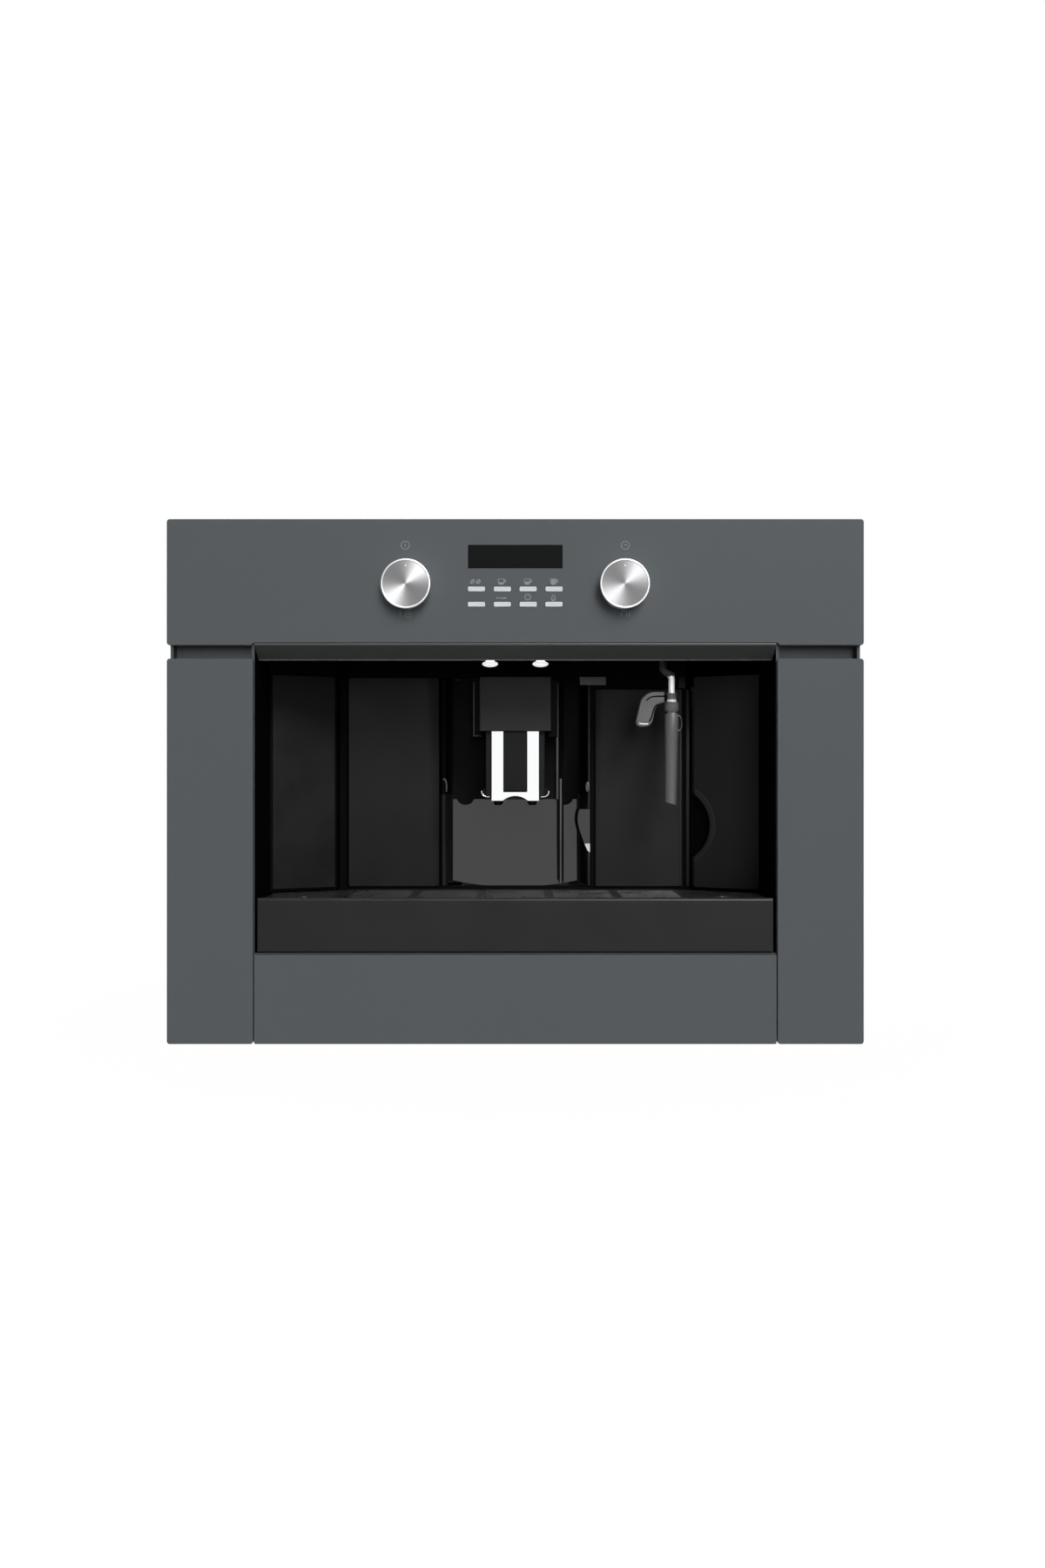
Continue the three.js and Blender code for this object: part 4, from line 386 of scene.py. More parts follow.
def satin(name, colour, roughness=0.42, specular=0.1, grains=1600, tone=0.94, dust=0.01):
    """A moulding with a fine satin grain."""
    return new_finish(name, colour, roughness, specular=specular, grains=grains, height=0.00001,
                      tone=tone, dust=dust)


panel_satin = satin("panel_satin", grey(20))
# The wing plate is painted darker than the back plates, though they are the same satin: painted shade.
eased_copy("wing_panel_left", satin("wing_satin", grey(13)), 0.0012, 4)
for side, sign in SIDES:
    edge_shaded_satin = panel_satin.copy()
    edge_shaded_satin.name = f"panel_satin_{side}"
    tree = edge_shaded_satin.node_tree
    # Painted shade towards the door, mixed into the plate's colour.
    shade = new_node(tree, "Group", {"Middle": -0.0699, "Slope": -0.0345, "Side": sign},
                     node_tree=painted_edge_shade)
    darker = new_node(tree, "Mix", {MIX_A: grey(3)}, data_type="RGBA")
    shader = tree.nodes["Principled BSDF"]
    tree.links.new(shader.inputs["Base Color"].links[0].from_socket, darker.inputs[MIX_B])
    link(tree, (tree.nodes["Texture Coordinate"], "Object", shade, "Position"),
         (shade, "Light", darker, 0), (darker, MIX_RESULT, shader, "Base Color"))
    eased_copy(f"back_panel_{side}", edge_shaded_satin, 0.0008, 3)

# ---- lamps
# Two opal lenses under the ceiling, pressed from white polycarbonate. Each hangs on a short stem
# that reaches up into the ceiling.


UP, BACK = Vector((0, 0, 1)), Vector((0, 1, 0))


def drawn_line(points, start=(0, 0, 0)):
    """A line of edges through points measured from its start, left selected in Edit Mode."""
    deselect()
    bpy.ops.mesh.primitive_plane_add(size=0.001, location=start)
    bpy.ops.object.mode_set(mode="EDIT")
    bpy.ops.mesh.select_mode(type="VERT")
    bpy.ops.mesh.select_all(action="SELECT")
    bpy.ops.mesh.merge(type="CENTER")
    here = Vector((0, 0, 0))
    for i, there in enumerate(points):
        if i == 0:
            bpy.ops.transform.translate(value=there - here)
        else:
            bpy.ops.mesh.extrude_vertices_move(TRANSFORM_OT_translate={"value": there - here})
        here = there
    bpy.ops.mesh.select_all(action="SELECT")
    return bpy.context.object


def turned_piece(profile, centre, axis, steps=96):
    """Turns a profile of (radius, reach along the axis) on a lathe round the centre."""
    piece = drawn_line([Vector((1, 0, 0)) * radius + axis * reach for radius, reach in profile], centre)
    bpy.ops.mesh.spin(steps=steps, angle=2 * math.pi, center=centre, axis=axis, use_auto_merge=True)
    object_mode()
    return piece


lens_opal = new_finish("lens_opal", paint(250, 250, 248), 0.25, grains=400, height=0.000005,
                       tone=0.97, dust=0)
set_inputs(lens_opal.node_tree.nodes["Principled BSDF"],
           {"Emission Color": (1, 1, 0.98, 1), "Emission Strength": 0.75})
bulge, stem_radius = 0.0027, 0.004
for side in ("left", "right"):
    low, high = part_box(f"lamp_{side}")
    middle = Vector(((low.x + high.x) / 2, (low.y + high.y) / 2, low.z + 0.0035))
    radius = (high.x - low.x) / 2 - 0.0009
    turns = [math.pi * i / 24 for i in range(22)]
    curve = [(radius * math.sin(turn), -bulge * math.cos(turn)) for turn in turns]
    stem = [(stem_radius, 0.0028), (stem_radius, high.z - middle.z), (0, high.z - middle.z)]
    lens = settle(turned_piece(curve + stem, middle, UP), f"lamp_lens_{side}",
                  lens_opal, "machine")
    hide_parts(f"lamp_{side}")

# ---- service door
# Deep black door with swept cheeks. Its lower middle is a polished splash plate that mirrors the
# bright floor before the machine, and the rest is dull.
door_black = new_finish("door_black", grey(7), 0.5, specular=0.05, grains=1300, tone=0.85, dust=0.01)
# Light grey for painted highlights on the door's corner, ribs, hook, catch and the housing's edge.
door_highlight_grey = new_finish("door_highlight_grey", grey(80), 0.45, specular=0.15, grains=1300, tone=0.92, dust=0)
splash_gloss = new_finish("splash_gloss", paint(16, 16, 16), 0.045, specular=0.72, grains=60,
                          height=0.000004, tone=0.95, spread=0.01, dust=0)
door = eased_copy("service_door", door_black, 0.0004, 2, angle=40, smooth=30)
cheek_high = 0.2120
edit_all(door)
bpy.ops.mesh.bisect(plane_co=(0, 0, cheek_high), plane_no=(0, 0, 1))
object_mode()
low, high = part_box("service_door")
flat_front = high.y - 0.0025
edge_front = low.y + 0.0035
corner_foot, corner_side = 0.3142, 0.0605
shade_left_x, flat_side = -0.0635, 0.0570
# Painted highlight: the door's upper right corner, in front, gets the light grey.
second_finish(door, door_highlight_grey, lambda centre, normal: (
    centre.z > corner_foot and centre.x > corner_side and centre.y < edge_front + 0.0002))
# Painted shade: the door's upper left, left of the housing, is painted near-black.
second_finish(door, alcove_black, lambda centre, normal: (
    centre.x < shade_left_x and centre.z > cheek_high))
# Painted light: the cheeks' lower front faces get a lighter grey for the light they catch from the floor.
cheek_painted_light = new_finish("cheek_painted_light", grey(18), 0.45, specular=0.1, grains=1300, tone=0.9, dust=0)
second_finish(door, cheek_painted_light, lambda centre, normal: (
    centre.z < cheek_high and abs(centre.x) > flat_side and normal.y < 0 and normal.z < 0.5))


def strip(name, material, body, x_span, y_span, z_span):
    """A straight strip between the limits given, with eased edges."""
    deselect()
    bpy.ops.mesh.primitive_cube_add(size=1, location=[(a + b) / 2 for a, b in (x_span, y_span, z_span)])
    piece = bpy.context.object
    piece.scale = [b - a for a, b in (x_span, y_span, z_span)]
    apply_place(piece)
    modify(piece, "BEVEL", width=0.0002, segments=2)
    return settle(piece, name, material, body)


# Ribs that guide the spout's cable: two light grey beads, painted highlights, on a black band that is a
# painted shadow beside them, and a light grey bead at the right edge, also a painted highlight.
rib_front = flat_front - 0.0038
rib_back = flat_front - 0.0008
rib_foot, rib_top = 0.1264, 0.3195
splash_low, splash_high = 0.1234, 0.2070
pull_low, pull_middle, pull_high = 0.1573, 0.1655, 0.1980
bead_sides, bead_depth = (0.0689, 0.0701), (edge_front - 0.0004, edge_front + 0.0010)
# Light grey for painted highlights on edges.
edge_highlight_grey = new_finish("edge_highlight_grey", grey(40), 0.45, specular=0.1, grains=1300, tone=0.92, dust=0)
for name, finish, x_span, y_span, z_span in (
    ("rib_shadow_band", alcove_black, (0.0417, 0.0467), (rib_front - 0.0002, rib_back), (rib_foot, rib_top)),
    ("rib_long", door_highlight_grey, (0.0396, 0.0417), (rib_front - 0.0006, rib_back), (splash_high, rib_top)),
    ("rib_short", door_highlight_grey, (0.0430, 0.0448), (rib_front - 0.0006, rib_front), (rib_foot, 0.2268)),
    ("door_bead_upper", edge_highlight_grey, bead_sides, bead_depth, (pull_high, 0.3125)),
    ("door_bead_lower", edge_highlight_grey, bead_sides, bead_depth, (rib_foot, pull_low)),
):
    strip(name, finish, "service_door", x_span, y_span, z_span)

# The splash plate: it curls forward at its foot, where its outer parts rise, and its upper edge
# has a scallop at each side.
splash_middle, splash_width = -0.0004, 0.1198
curl, foot_rise, rise_from = 0.0034, 0.0052 / 0.52, 0.35
scallop_depth, scallop_at, scallop_half = 0.0056, 0.80, 0.135
deselect()
bpy.ops.mesh.primitive_grid_add(
    x_subdivisions=96, y_subdivisions=24, size=1, rotation=(math.pi / 2, 0, 0),
    location=(splash_middle, flat_front - 0.0004, (splash_low + splash_high) / 2))
splash = bpy.context.object
splash.scale = (splash_width, splash_high - splash_low, 1)
apply_place(splash)
for vertex in splash.data.vertices:
    across = abs(vertex.co.x - splash_middle) / (splash_width / 2)
    up = (vertex.co.z - splash_low) / (splash_high - splash_low)
    scallop = max(0, 1 - ((across - scallop_at) / scallop_half) ** 2) ** 0.6
    vertex.co.z += (1 - up) * foot_rise * max(0, across - rise_from) ** 1.5
    vertex.co.z -= up * scallop_depth * scallop
    vertex.co.y -= curl * (1 - up) ** 2
modify(splash, "SOLIDIFY", thickness=0.0004, offset=0)
settle(splash, "splash_plate", splash_gloss, "service_door", 20)

# The pull: a dished plate behind the round cut in the cheek. Its foot is a near-white lip: a painted
# highlight.
pull_front = edge_front + 0.0016
pull_highlight_white = new_finish("pull_highlight_white", grey(214), 0.35, specular=0.3, grains=900, tone=0.97, dust=0)
leaf = [(0.0696, pull_low), (0.0681, 0.1592), (0.0660, 0.1636), (0.0632, 0.1710), (0.0605, 0.1790),
        (0.0589, 0.1860), (0.0588, 0.1905), (0.0596, 0.1950), (0.0608, pull_high), (0.0704, pull_high),
        (0.0704, pull_low)]
for name, finish, top, foot, thickness in (
    ("pull_dish", splash_gloss, pull_high, pull_middle, 0.0008),
    ("pull_lip", pull_highlight_white, pull_middle, pull_low, 0.0012),
):
    plate = drawn_line([Vector((x, pull_front, z)) for x, z in leaf])
    bpy.ops.mesh.remove_doubles(threshold=WELD)
    bpy.ops.mesh.edge_face_add()
    for height, outward in ((top, UP), (foot, -UP)):
        bpy.ops.mesh.select_all(action="SELECT")
        bpy.ops.mesh.bisect(plane_co=(0, 0, height), plane_no=outward, clear_outer=True)
    object_mode()
    modify(plate, "SOLIDIFY", thickness=thickness, offset=0)
    settle(plate, name, finish, "service_door", 30)


def curve_through(points, handle="AUTO", **settings):
    """A curve with these settings through the points given. Gives back its spline."""
    deselect()
    bpy.ops.curve.primitive_bezier_curve_add(location=(0, 0, 0))
    spline = adjusted(bpy.context.object.data, settings).splines[0]
    spline.bezier_points.add(len(points) - 2)
    for knot, place in zip(spline.bezier_points, points):
        knot.co = place
        knot.handle_left_type = knot.handle_right_type = handle
    return spline


def as_mesh():
    """Makes the curve that was drawn last a mesh."""
    bpy.ops.object.convert(target="MESH")
    return bpy.context.object


def bent_wire(points, thickness, handle="AUTO"):
    """A round wire through the points given."""
    curve_through(points, handle, dimensions="3D", bevel_depth=thickness, bevel_resolution=5,
                  resolution_u=8, use_fill_caps=True)
    return as_mesh()


# A wire hook at the left cheek and a small catch at the right one hold the door's inner cover. Both
# are painted light grey, a painted highlight.
hook_y = edge_front + 0.0004
hook = bent_wire([(-0.0682, hook_y, 0.2262), (-0.0670, hook_y, 0.2263), (-0.0655, hook_y, 0.2240),
                  (-0.0648, hook_y, 0.2195), (-0.0649, hook_y, 0.2145)], 0.0007)
settle(hook, "door_hook", door_highlight_grey, "service_door", 60)
deselect()
bpy.ops.mesh.primitive_uv_sphere_add(
    segments=24, ring_count=12, radius=1, location=(0.0682, edge_front - 0.0002, 0.2191))
ear = bpy.context.object
ear.scale = (0.0022, 0.0012, 0.0050)
settle(ear, "door_catch", door_highlight_grey, "service_door", 60)

# ---- spout housing
# Square satin hood screwed to the door, open below, so that the spout can slide up into it. A
# light grey bead follows its left edge and turns the corner: a painted highlight on that edge.
housing_satin = satin("housing_satin", grey(24), 0.45, 0.14, dust=0.02)
housing_black = satin("housing_black", grey(9), 0.5, 0.06)
housing = eased_copy("spout_housing", housing_satin, 0.0007, 3)
low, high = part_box("spout_housing")
step_y = high.y - 0.0308
second_finish(housing, housing_black, lambda centre, normal: (
    centre.y > step_y - 0.001 or abs(centre.x) > 0.0334))
bead_x, bead_y, bead_z = low.x + 0.0008, step_y + 0.0002, low.z + 0.0010
# Painted highlight along the left edge and foot.
bead = bent_wire([(bead_x, bead_y, high.z - 0.002), (bead_x, bead_y, bead_z),
                  (low.x + 0.0078, bead_y, bead_z)], 0.0008, "VECTOR")
settle(bead, "housing_edge_highlight", door_highlight_grey, "service_door", 40)

# ---- coffee spout
# Slider of grey-black plastic with two outlets. A chromed plate with a long window and an arch
# between the outlets is clipped to its front.
spout_plastic = satin("spout_plastic", grey(17), specular=0.08, grains=1500, dust=0.02)
spout = eased_copy("spout_body", spout_plastic, 0.0006, 3)
second_finish(spout, housing_black, lambda centre, normal: abs(centre.x) > 0.0275 or centre.z < 0.2062)
bright_chrome = new_finish("bright_chrome", paint(246, 247, 248), 0.05, 1.0, grains=200,
                           height=0.000001, tone=0.99, spread=0.015, dust=0)
eased_copy("spout_trim", bright_chrome, 0.0006, 4)
low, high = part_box("spout_body")
foot_y = low.y + 0.0004
for side, sign in SIDES:
    crescent = bent_wire([
        (sign * 0.0309, foot_y, 0.2155), (sign * 0.0303, foot_y, 0.2128), (sign * 0.0286, foot_y, 0.2109),
        (sign * 0.0262, foot_y, 0.2101), (sign * 0.0236, foot_y, 0.2100),
    ], 0.0007)
    settle(crescent, f"spout_lip_{side}", bright_chrome, "coffee_spout", 60)

# ---- steam wand
# Steel tube that hangs from a swivel socket and steps sideways in a rubber elbow. A moulded lever
# is clamped round it, and the nozzle sleeve below pulls off for cleaning.
socket_black = new_finish("socket_black", grey(24), 0.4, specular=0.1, grains=1300, tone=0.9)
eased_copy("wand_socket", socket_black, 0.0005, 3)
wand_grey = new_finish("wand_grey", grey(96), 0.45, specular=0.2, grains=1400,
                       height=0.000008, tone=0.95, dust=0.02)
wand_light = new_finish("wand_light", grey(224), 0.25, specular=0.4, grains=1400,
                        height=0.000004, tone=0.97, dust=0)
elbow_rubber = new_finish("elbow_rubber", grey(58), 0.55, specular=0.12, grains=1500, tone=0.9)
# The tube's near-white, half-matt colour is a painted reflection: it stands for the bright mirror image of
# polished steel.
bright_steel = new_finish("bright_steel", grey(252), 0.4, 0.3, grains=300,
                          height=0.000002, tone=0.98, spread=0.02, dust=0)
tube_low, tube_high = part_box("steam_tube")
grip_low, grip_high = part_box("wand_grip")
sleeve_low, sleeve_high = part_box("nozzle_sleeve")
socket_low, socket_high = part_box("wand_socket")
pivot_x = (socket_low.x + socket_high.x) / 2
pipe_x = sleeve_low.x + 0.0065
pipe_y = (grip_low.y + grip_high.y) / 2
bend_top, bend_end = 0.3262, 0.3165
pipe_foot = Vector((pipe_x, pipe_y, 0))


def stepped_wire(stops, thickness):
    """A round rod down through the stops of ((x, z), reach of the handles)."""
    spline = curve_through([(x, pipe_y, z) for (x, z), reach in stops], "FREE", dimensions="3D",
                           bevel_depth=thickness, bevel_resolution=8, resolution_u=24, use_fill_caps=True)
    for knot, ((x, z), reach) in zip(spline.bezier_points, stops):
        knot.handle_left = (x, pipe_y, z + reach)
        knot.handle_right = (x, pipe_y, z - reach)
    return as_mesh()


pipe = stepped_wire([((pivot_x, tube_high.z), 0.004), ((pivot_x, bend_top), 0.0045),
                     ((pipe_x, bend_end), 0.0045), ((pipe_x, tube_low.z), 0.004)], 0.0029)
wand_pipe = settle(pipe, "wand_pipe", bright_steel, "steam_wand")
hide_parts("steam_tube")
elbow = stepped_wire([((pivot_x, tube_high.z), 0.004), ((pivot_x, bend_top), 0.0040),
                      ((pipe_x - 0.0002, bend_end + 0.0026), 0.0014)], 0.0033)
settle(elbow, "wand_elbow", elbow_rubber, "steam_wand", 60)

# Below the tube's lower end: a grey nut, a light ring over it, and the lever's grey collar.
nut_low, nut_high = sleeve_high.z + 0.0004, 0.2953
nut = turned_piece(
    [(0.0030, nut_low), (0.0054, nut_low), (0.0060, nut_low + 0.0012), (0.0065, nut_low + 0.0020),
     (0.0065, nut_high - 0.0017), (0.0061, nut_high - 0.0014), (0.0061, nut_high - 0.0010),
     (0.0066, nut_high - 0.0008), (0.0064, nut_high), (0.0030, nut_high), (0.0030, nut_low)],
    pipe_foot, UP, 64)
settle(nut, "wand_nut", wand_grey, "steam_wand", 40)
ring_high = nut_high + 0.0024
light_ring = turned_piece(
    [(0.0030, nut_high + 0.0002), (0.0043, nut_high + 0.0002), (0.0044, nut_high + 0.0012),
     (0.0042, ring_high), (0.0030, ring_high), (0.0030, nut_high + 0.0002)],
    pipe_foot, UP, 64)
settle(light_ring, "wand_ring", wand_light, "steam_wand", 40)

# The lever: an outline filled and rolled at its edges, two black wires on its face that stand
# for the shade of two grooves (painted shade), and the collar.
lever_depth, lever_roll = 0.0026, 0.0014
outline = [
    (-0.0066, 0.3044), (-0.0111, 0.3046), (-0.0166, 0.3046), (-0.0205, 0.3037), (-0.0244, 0.3013),
    (-0.0275, 0.2975), (-0.0289, 0.2936), (-0.0303, 0.2877), (-0.0318, 0.2814), (-0.0324, 0.2775),
    (-0.0316, 0.2747), (-0.0291, 0.2733), (-0.0236, 0.2733), (-0.0201, 0.2744), (-0.0179, 0.2771),
    (-0.0162, 0.2830), (-0.0150, 0.2889), (-0.0130, 0.2920), (-0.0103, 0.2941), (-0.0066, 0.2950),
]
shape = curve_through(
    [(pipe_x + x, z, 0) for x, z in outline], dimensions="2D", fill_mode="BOTH", extrude=lever_depth,
    bevel_depth=lever_roll, bevel_resolution=4, offset=-lever_roll, resolution_u=5)
shape.use_cyclic_u = True
for knot in (shape.bezier_points[0], shape.bezier_points[-1]):
    knot.handle_left_type = knot.handle_right_type = "VECTOR"
lever = as_mesh()
lever.rotation_euler = (math.pi / 2, 0, 0)
lever.location = (0, pipe_y, 0)
collar = turned_piece(
    [(0.0031, ring_high), (0.0040, ring_high), (0.0043, ring_high + 0.0004), (0.0043, 0.3018),
     (0.0050, 0.3022), (0.0050, 0.3030), (0.0046, 0.3034), (0.0031, 0.3034), (0.0031, ring_high)],
    pipe_foot, UP, 64)
wand_lever = settle(joined_pieces([lever, collar]), "wand_lever", wand_grey, "steam_wand",
                    40)
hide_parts("wand_grip")
strip("lever_link", alcove_black, "steam_wand", (pipe_x - 0.0075, pipe_x - 0.0035),
      (pipe_y - 0.0006, pipe_y + 0.0020), (0.2962, 0.3026))
# Painted shade: black wires laid on the face where two grooves would lie dark.
lever_face = pipe_y - 0.0041
grooves = [bent_wire([(pipe_x + x, lever_face, z) for x, z in line], 0.0006) for line in (
    ((-0.0066, 0.3006), (-0.0115, 0.3005), (-0.0163, 0.3003), (-0.0200, 0.2992), (-0.0230, 0.2968)),
    ((-0.0126, 0.2934), (-0.0154, 0.2910), (-0.0169, 0.2872), (-0.0184, 0.2820), (-0.0205, 0.2780)),
)]
settle(joined_pieces(grooves), "lever_groove_shade", alcove_black, "steam_wand", 60)
# Painted highlight: a near-white wire along the lever's foot.
tip_highlight_line = [(pipe_x + x, pipe_y - 0.0036, z) for x, z in (
    (-0.0294, 0.2761), (-0.0262, 0.2757), (-0.0214, 0.2758))]
settle(bent_wire(tip_highlight_line, 0.0009), "lever_tip_highlight", wand_light, "steam_wand", 60)

# The sleeve: a tapered moulding with a slanting mouth and a wire catch. Two small black balls
# at its head stand for the shade of two dents: painted shade.
tip, head = sleeve_low.z, sleeve_high.z
sleeve = turned_piece(
    [(0, tip + 0.026), (0.0042, tip + 0.026), (0.0044, tip), (0.0054, tip), (0.0060, head - 0.0245),
     (0.00605, head - 0.0242), (0.0062, head - 0.0238), (0.0063, head - 0.0010), (0.0058, head),
     (0.0035, head), (0.0035, head - 0.021), (0, head - 0.021)],
    pipe_foot, UP, 64)
deselect()
bpy.ops.mesh.primitive_cube_add(
    size=0.03, location=(pipe_x - 0.002, pipe_y, tip - 0.0127), rotation=(0, math.radians(15), 0))
wedge = bpy.context.object
modify(sleeve, "BOOLEAN", operation="DIFFERENCE", object=wedge)
bpy.data.objects.remove(wedge)
for vertex in sleeve.data.vertices:
    vertex.co.y = max(vertex.co.y, pipe_y - 0.0037)
    vertex.co.x -= 0.0010 * (head - vertex.co.z) / (head - tip)
sleeve = settle(sleeve, "sleeve_moulding", wand_grey, "steam_wand", 35)
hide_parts("nozzle_sleeve")
# Painted shade: black balls where the dents would lie dark.
dent_shades = []
for x in (-0.0047, 0.0047):
    deselect()
    bpy.ops.mesh.primitive_uv_sphere_add(segments=16, ring_count=8, radius=0.0011,
                                         location=(pipe_x + x, pipe_y - 0.0034, head - 0.0002))
    dent_shades.append(bpy.context.object)
settle(joined_pieces(dent_shades), "sleeve_dent_shade", alcove_black, "steam_wand", 60)
deselect()
bpy.ops.mesh.primitive_torus_add(
    major_radius=0.0066, minor_radius=0.0007, major_segments=48, minor_segments=10,
    location=(pipe_x + 0.0062, pipe_y - 0.0026, 0.2764), rotation=(math.pi / 2, 0, 0),
)
catch = bpy.context.object
catch.scale = (0.42, 1.0, 1)
settle(catch, "sleeve_catch", wand_grey, "steam_wand", 60)

# ---- drip tray
# Satin front bar, black tub and a moulded cup grid with a red float that rises through it. The bar
# is clipped to the tub, and its upper edge is rolled; its top faces are painted lighter, a painted
# highlight.
tray_satin = satin("tray_satin", grey(31), specular=0.12, tone=0.95, dust=0.03)
tub_black = new_finish("tub_black", grey(24), 0.5, specular=0.3, grains=1200, tone=0.85)
grid_satin = new_finish("grid_satin", grey(52), 0.3, specular=0.4, grains=1300, tone=0.92, dust=0.06)
float_red = new_finish("float_red", paint(186, 38, 30), 0.4, grains=1000, tone=0.88)
tray_top_highlight = satin("tray_top_highlight", grey(56), 0.4, 0.2, tone=0.95, dust=0.03)
tray_front = eased_copy("tray_front", tray_satin, 0.0009, 3)
# Painted highlight: the bar's top faces get a lighter grey.
second_finish(tray_front, tray_top_highlight, lambda centre, normal: normal.z > 0.6 and centre.z > 0.12)
dress(tub_black, "tray_tub")
eased_copy("cup_grid", grid_satin, 0.00035, 2)
eased_copy("tray_float", float_red, 0.0004, 2)

# ---- water tank
# Smoked clear tank behind a satin cover. A round cut in the cover's edge, with a rolled rim,
# lets the fingers in. The rim is painted a little lighter than the cover: a painted highlight.
cover_satin = satin("cover_satin", grey(26), tone=0.95)
eased_copy("tank_front", cover_satin, 0.0006, 3)
# Painted highlight: the rim's grey is a little lighter than the cover's.
rim_satin = satin("rim_satin", grey(29), specular=0.12, tone=0.95)
low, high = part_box("tank_front")
corners = [corner.co for corner in nodes["tank_front"].data.vertices]
inner_front = min(corner.y for corner in corners if corner.x < low.x + 0.0001)
outer_front = min(corner.y for corner in corners if corner.x > high.x - 0.0001)
lean = (outer_front - inner_front) / (high.x - low.x)
cut_x, cut_z, cut_stretch = 0.1467, 0.1831, 1.065
for name, finish, profile in (
    ("finger_cup", alcove_black, [
        (0, 0.0105), (0.0339, 0.0105), (0.0339, 0.0004), (0.0346, 0.0004), (0.0346, 0.0113), (0, 0.0113)]),
    ("finger_rim", rim_satin, [
        (0.0337, 0.0012), (0.0337, 0), (0.0341, -0.0004), (0.0347, -0.0006), (0.0382, -0.0005),
        (0.0389, -0.0002), (0.0392, 0.0002), (0.0392, 0.0012), (0.0337, 0.0012)]),
    ("finger_flange", cover_satin, [
        (0.0345, 0.0004), (0.0430, 0.0004), (0.0430, 0.0014), (0.0345, 0.0014), (0.0345, 0.0004)]),
):
    half = turned_piece(profile, Vector((cut_x, 0, cut_z)), BACK, 120)
    edit_all(half)
    bpy.ops.transform.resize(value=(1, 1, cut_stretch), center_override=(cut_x, 0, cut_z))
    bpy.ops.mesh.bisect(plane_co=(low.x + 0.0002, 0, 0), plane_no=(1, 0, 0), clear_inner=True,
                        use_fill=True)
    object_mode()
    apply_place(half)
    for vertex in half.data.vertices:
        vertex.co.y += inner_front + (vertex.co.x - low.x) * lean
    settle(half, name, finish, "water_tank", 35)
guide_satin = new_finish("guide_satin", grey(19), 0.45, specular=0.1, grains=1300, tone=0.92, dust=0)
tank_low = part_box("water_tank")[0]
strip("tank_guide", guide_satin, "water_tank", (tank_low.x - 0.0016, tank_low.x + 0.0016),
      (tank_low.y - 0.0120, tank_low.y + 0.0010), (tank_low.z, 0.3105))
# Painted highlight: a light grey strip along the right back plate's edge.
strip("panel_edge_highlight", edge_highlight_grey, "machine", (0.1549, 0.1561), (-0.0830, -0.0815),
      (0.1265, 0.2750))
strip("wall_block", guide_satin, "machine", (0.1534, tank_low.x - 0.0020),
      (-0.0850, -0.0804), (0.3116, 0.3226))


def smoked(name, colour, roughness, specular, height, clear):
    """Smoked plastic that lets part of the light through."""
    material = new_finish(name, colour, roughness, specular=specular, grains=90, height=height,
                          tone=0.96, spread=0.02, dust=0.03)
    set_inputs(material.node_tree.nodes["Principled BSDF"], {"Transmission Weight": clear, "IOR": 1.49})
    return material


dress(smoked("tank_smoke", paint(16, 17, 18), 0.2, 0.04, 0.000004, 0.5), "water_tank")
smoked_clear = smoked("smoked_clear", paint(52, 55, 58), 0.18, 0.2, 0.0000008, 0.85)

# ---- glass front
# Four panels of 5 mm glass, printed grey on the back and satin in front, glued to the frame. A
# satin lip closes the control glass at its foot; its downward faces are painted near-white, a painted
# highlight.
front_satin = new_finish("front_satin", paint(88, 92, 95), 0.5, specular=0.04, grains=2600,
                         height=0.000004, clouds=9, tone=0.985, spread=0.03, dust=0.02)
for node in ("control_fascia", "side_fascia_left", "side_fascia_right", "lower_fascia"):
    eased_copy(node, front_satin, 0.0005, 3)
lip_satin = satin("lip_satin", paint(68, 71, 69), specular=0.25, grains=1500, dust=0.03)
lip_underside_painted_light = satin("lip_underside_painted_light", paint(204, 206, 204), specular=0.2, grains=1500, dust=0)
hood_lip = eased_copy("hood_lip", lip_satin, 0.0006, 3)
# Painted highlight: the lip's downward faces are near-white.
second_finish(hood_lip, lip_underside_painted_light, lambda centre, normal: normal.z < -0.7 and centre.z < 0.3305)

# ---- display and keys
# Black display window, and eight light-grey caps in slots cut through the glass. The caps spring
# back when they are pressed.
display_black = new_finish("display_black", paint(24, 25, 25), 0.12, specular=0.03, grains=50,
                           height=0.000002, tone=0.95, spread=0.02, dust=0)
eased_copy("display_window", display_black, 0.0002, 2)
key_grey = new_finish("key_grey", paint(214, 218, 221), 0.4, specular=0.1, grains=1800,
                      height=0.000005, tone=0.97, dust=0)
for number in range(1, 9):
    eased_copy(f"key_{number}", key_grey, 0.0003, 3)

# ---- symbols
# Thin grey prints on the glass beside the knobs and above the keys: plain signs for power,
# steam, rinse and water, beans and cups.
print_grey = new_finish("print_grey", paint(160, 164, 167), 0.6, specular=0.2, grains=900,
                        height=0.000002, tone=0.95, dust=0)
glass_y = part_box("control_fascia")[0].y
MM = 0.001
THIN, BOLD = 0.00017, 0.00027  # half the width of a line


def stroke(x, z, points, closed, half_width):
    """One printed line through points given in millimetres from the sign's middle."""
    deselect()
    bpy.ops.curve.primitive_nurbs_path_add(location=(0, 0, 0))
    drawn = bpy.context.object.data
    drawn.splines.remove(drawn.splines[0])
    path = drawn.splines.new("POLY")
    path.points.add(len(points) - 1)
    for knot, (dx, dz) in zip(path.points, points):
        knot.co = (x + dx * MM, glass_y, z + dz * MM, 1)
    path.use_cyclic_u = closed
    adjusted(drawn, {"bevel_depth": half_width, "bevel_resolution": 1, "use_fill_caps": True})
    return as_mesh()


def ring(radius):
    turns = [math.radians(18 * i) for i in range(20)]
    return [(radius * math.cos(turn), radius * math.sin(turn)) for turn in turns]


def levels(*heights):
    """The lines that fill a cup up to the last of the heights."""
    return [[(-1.7, height), (1.6, height)] for height in heights]


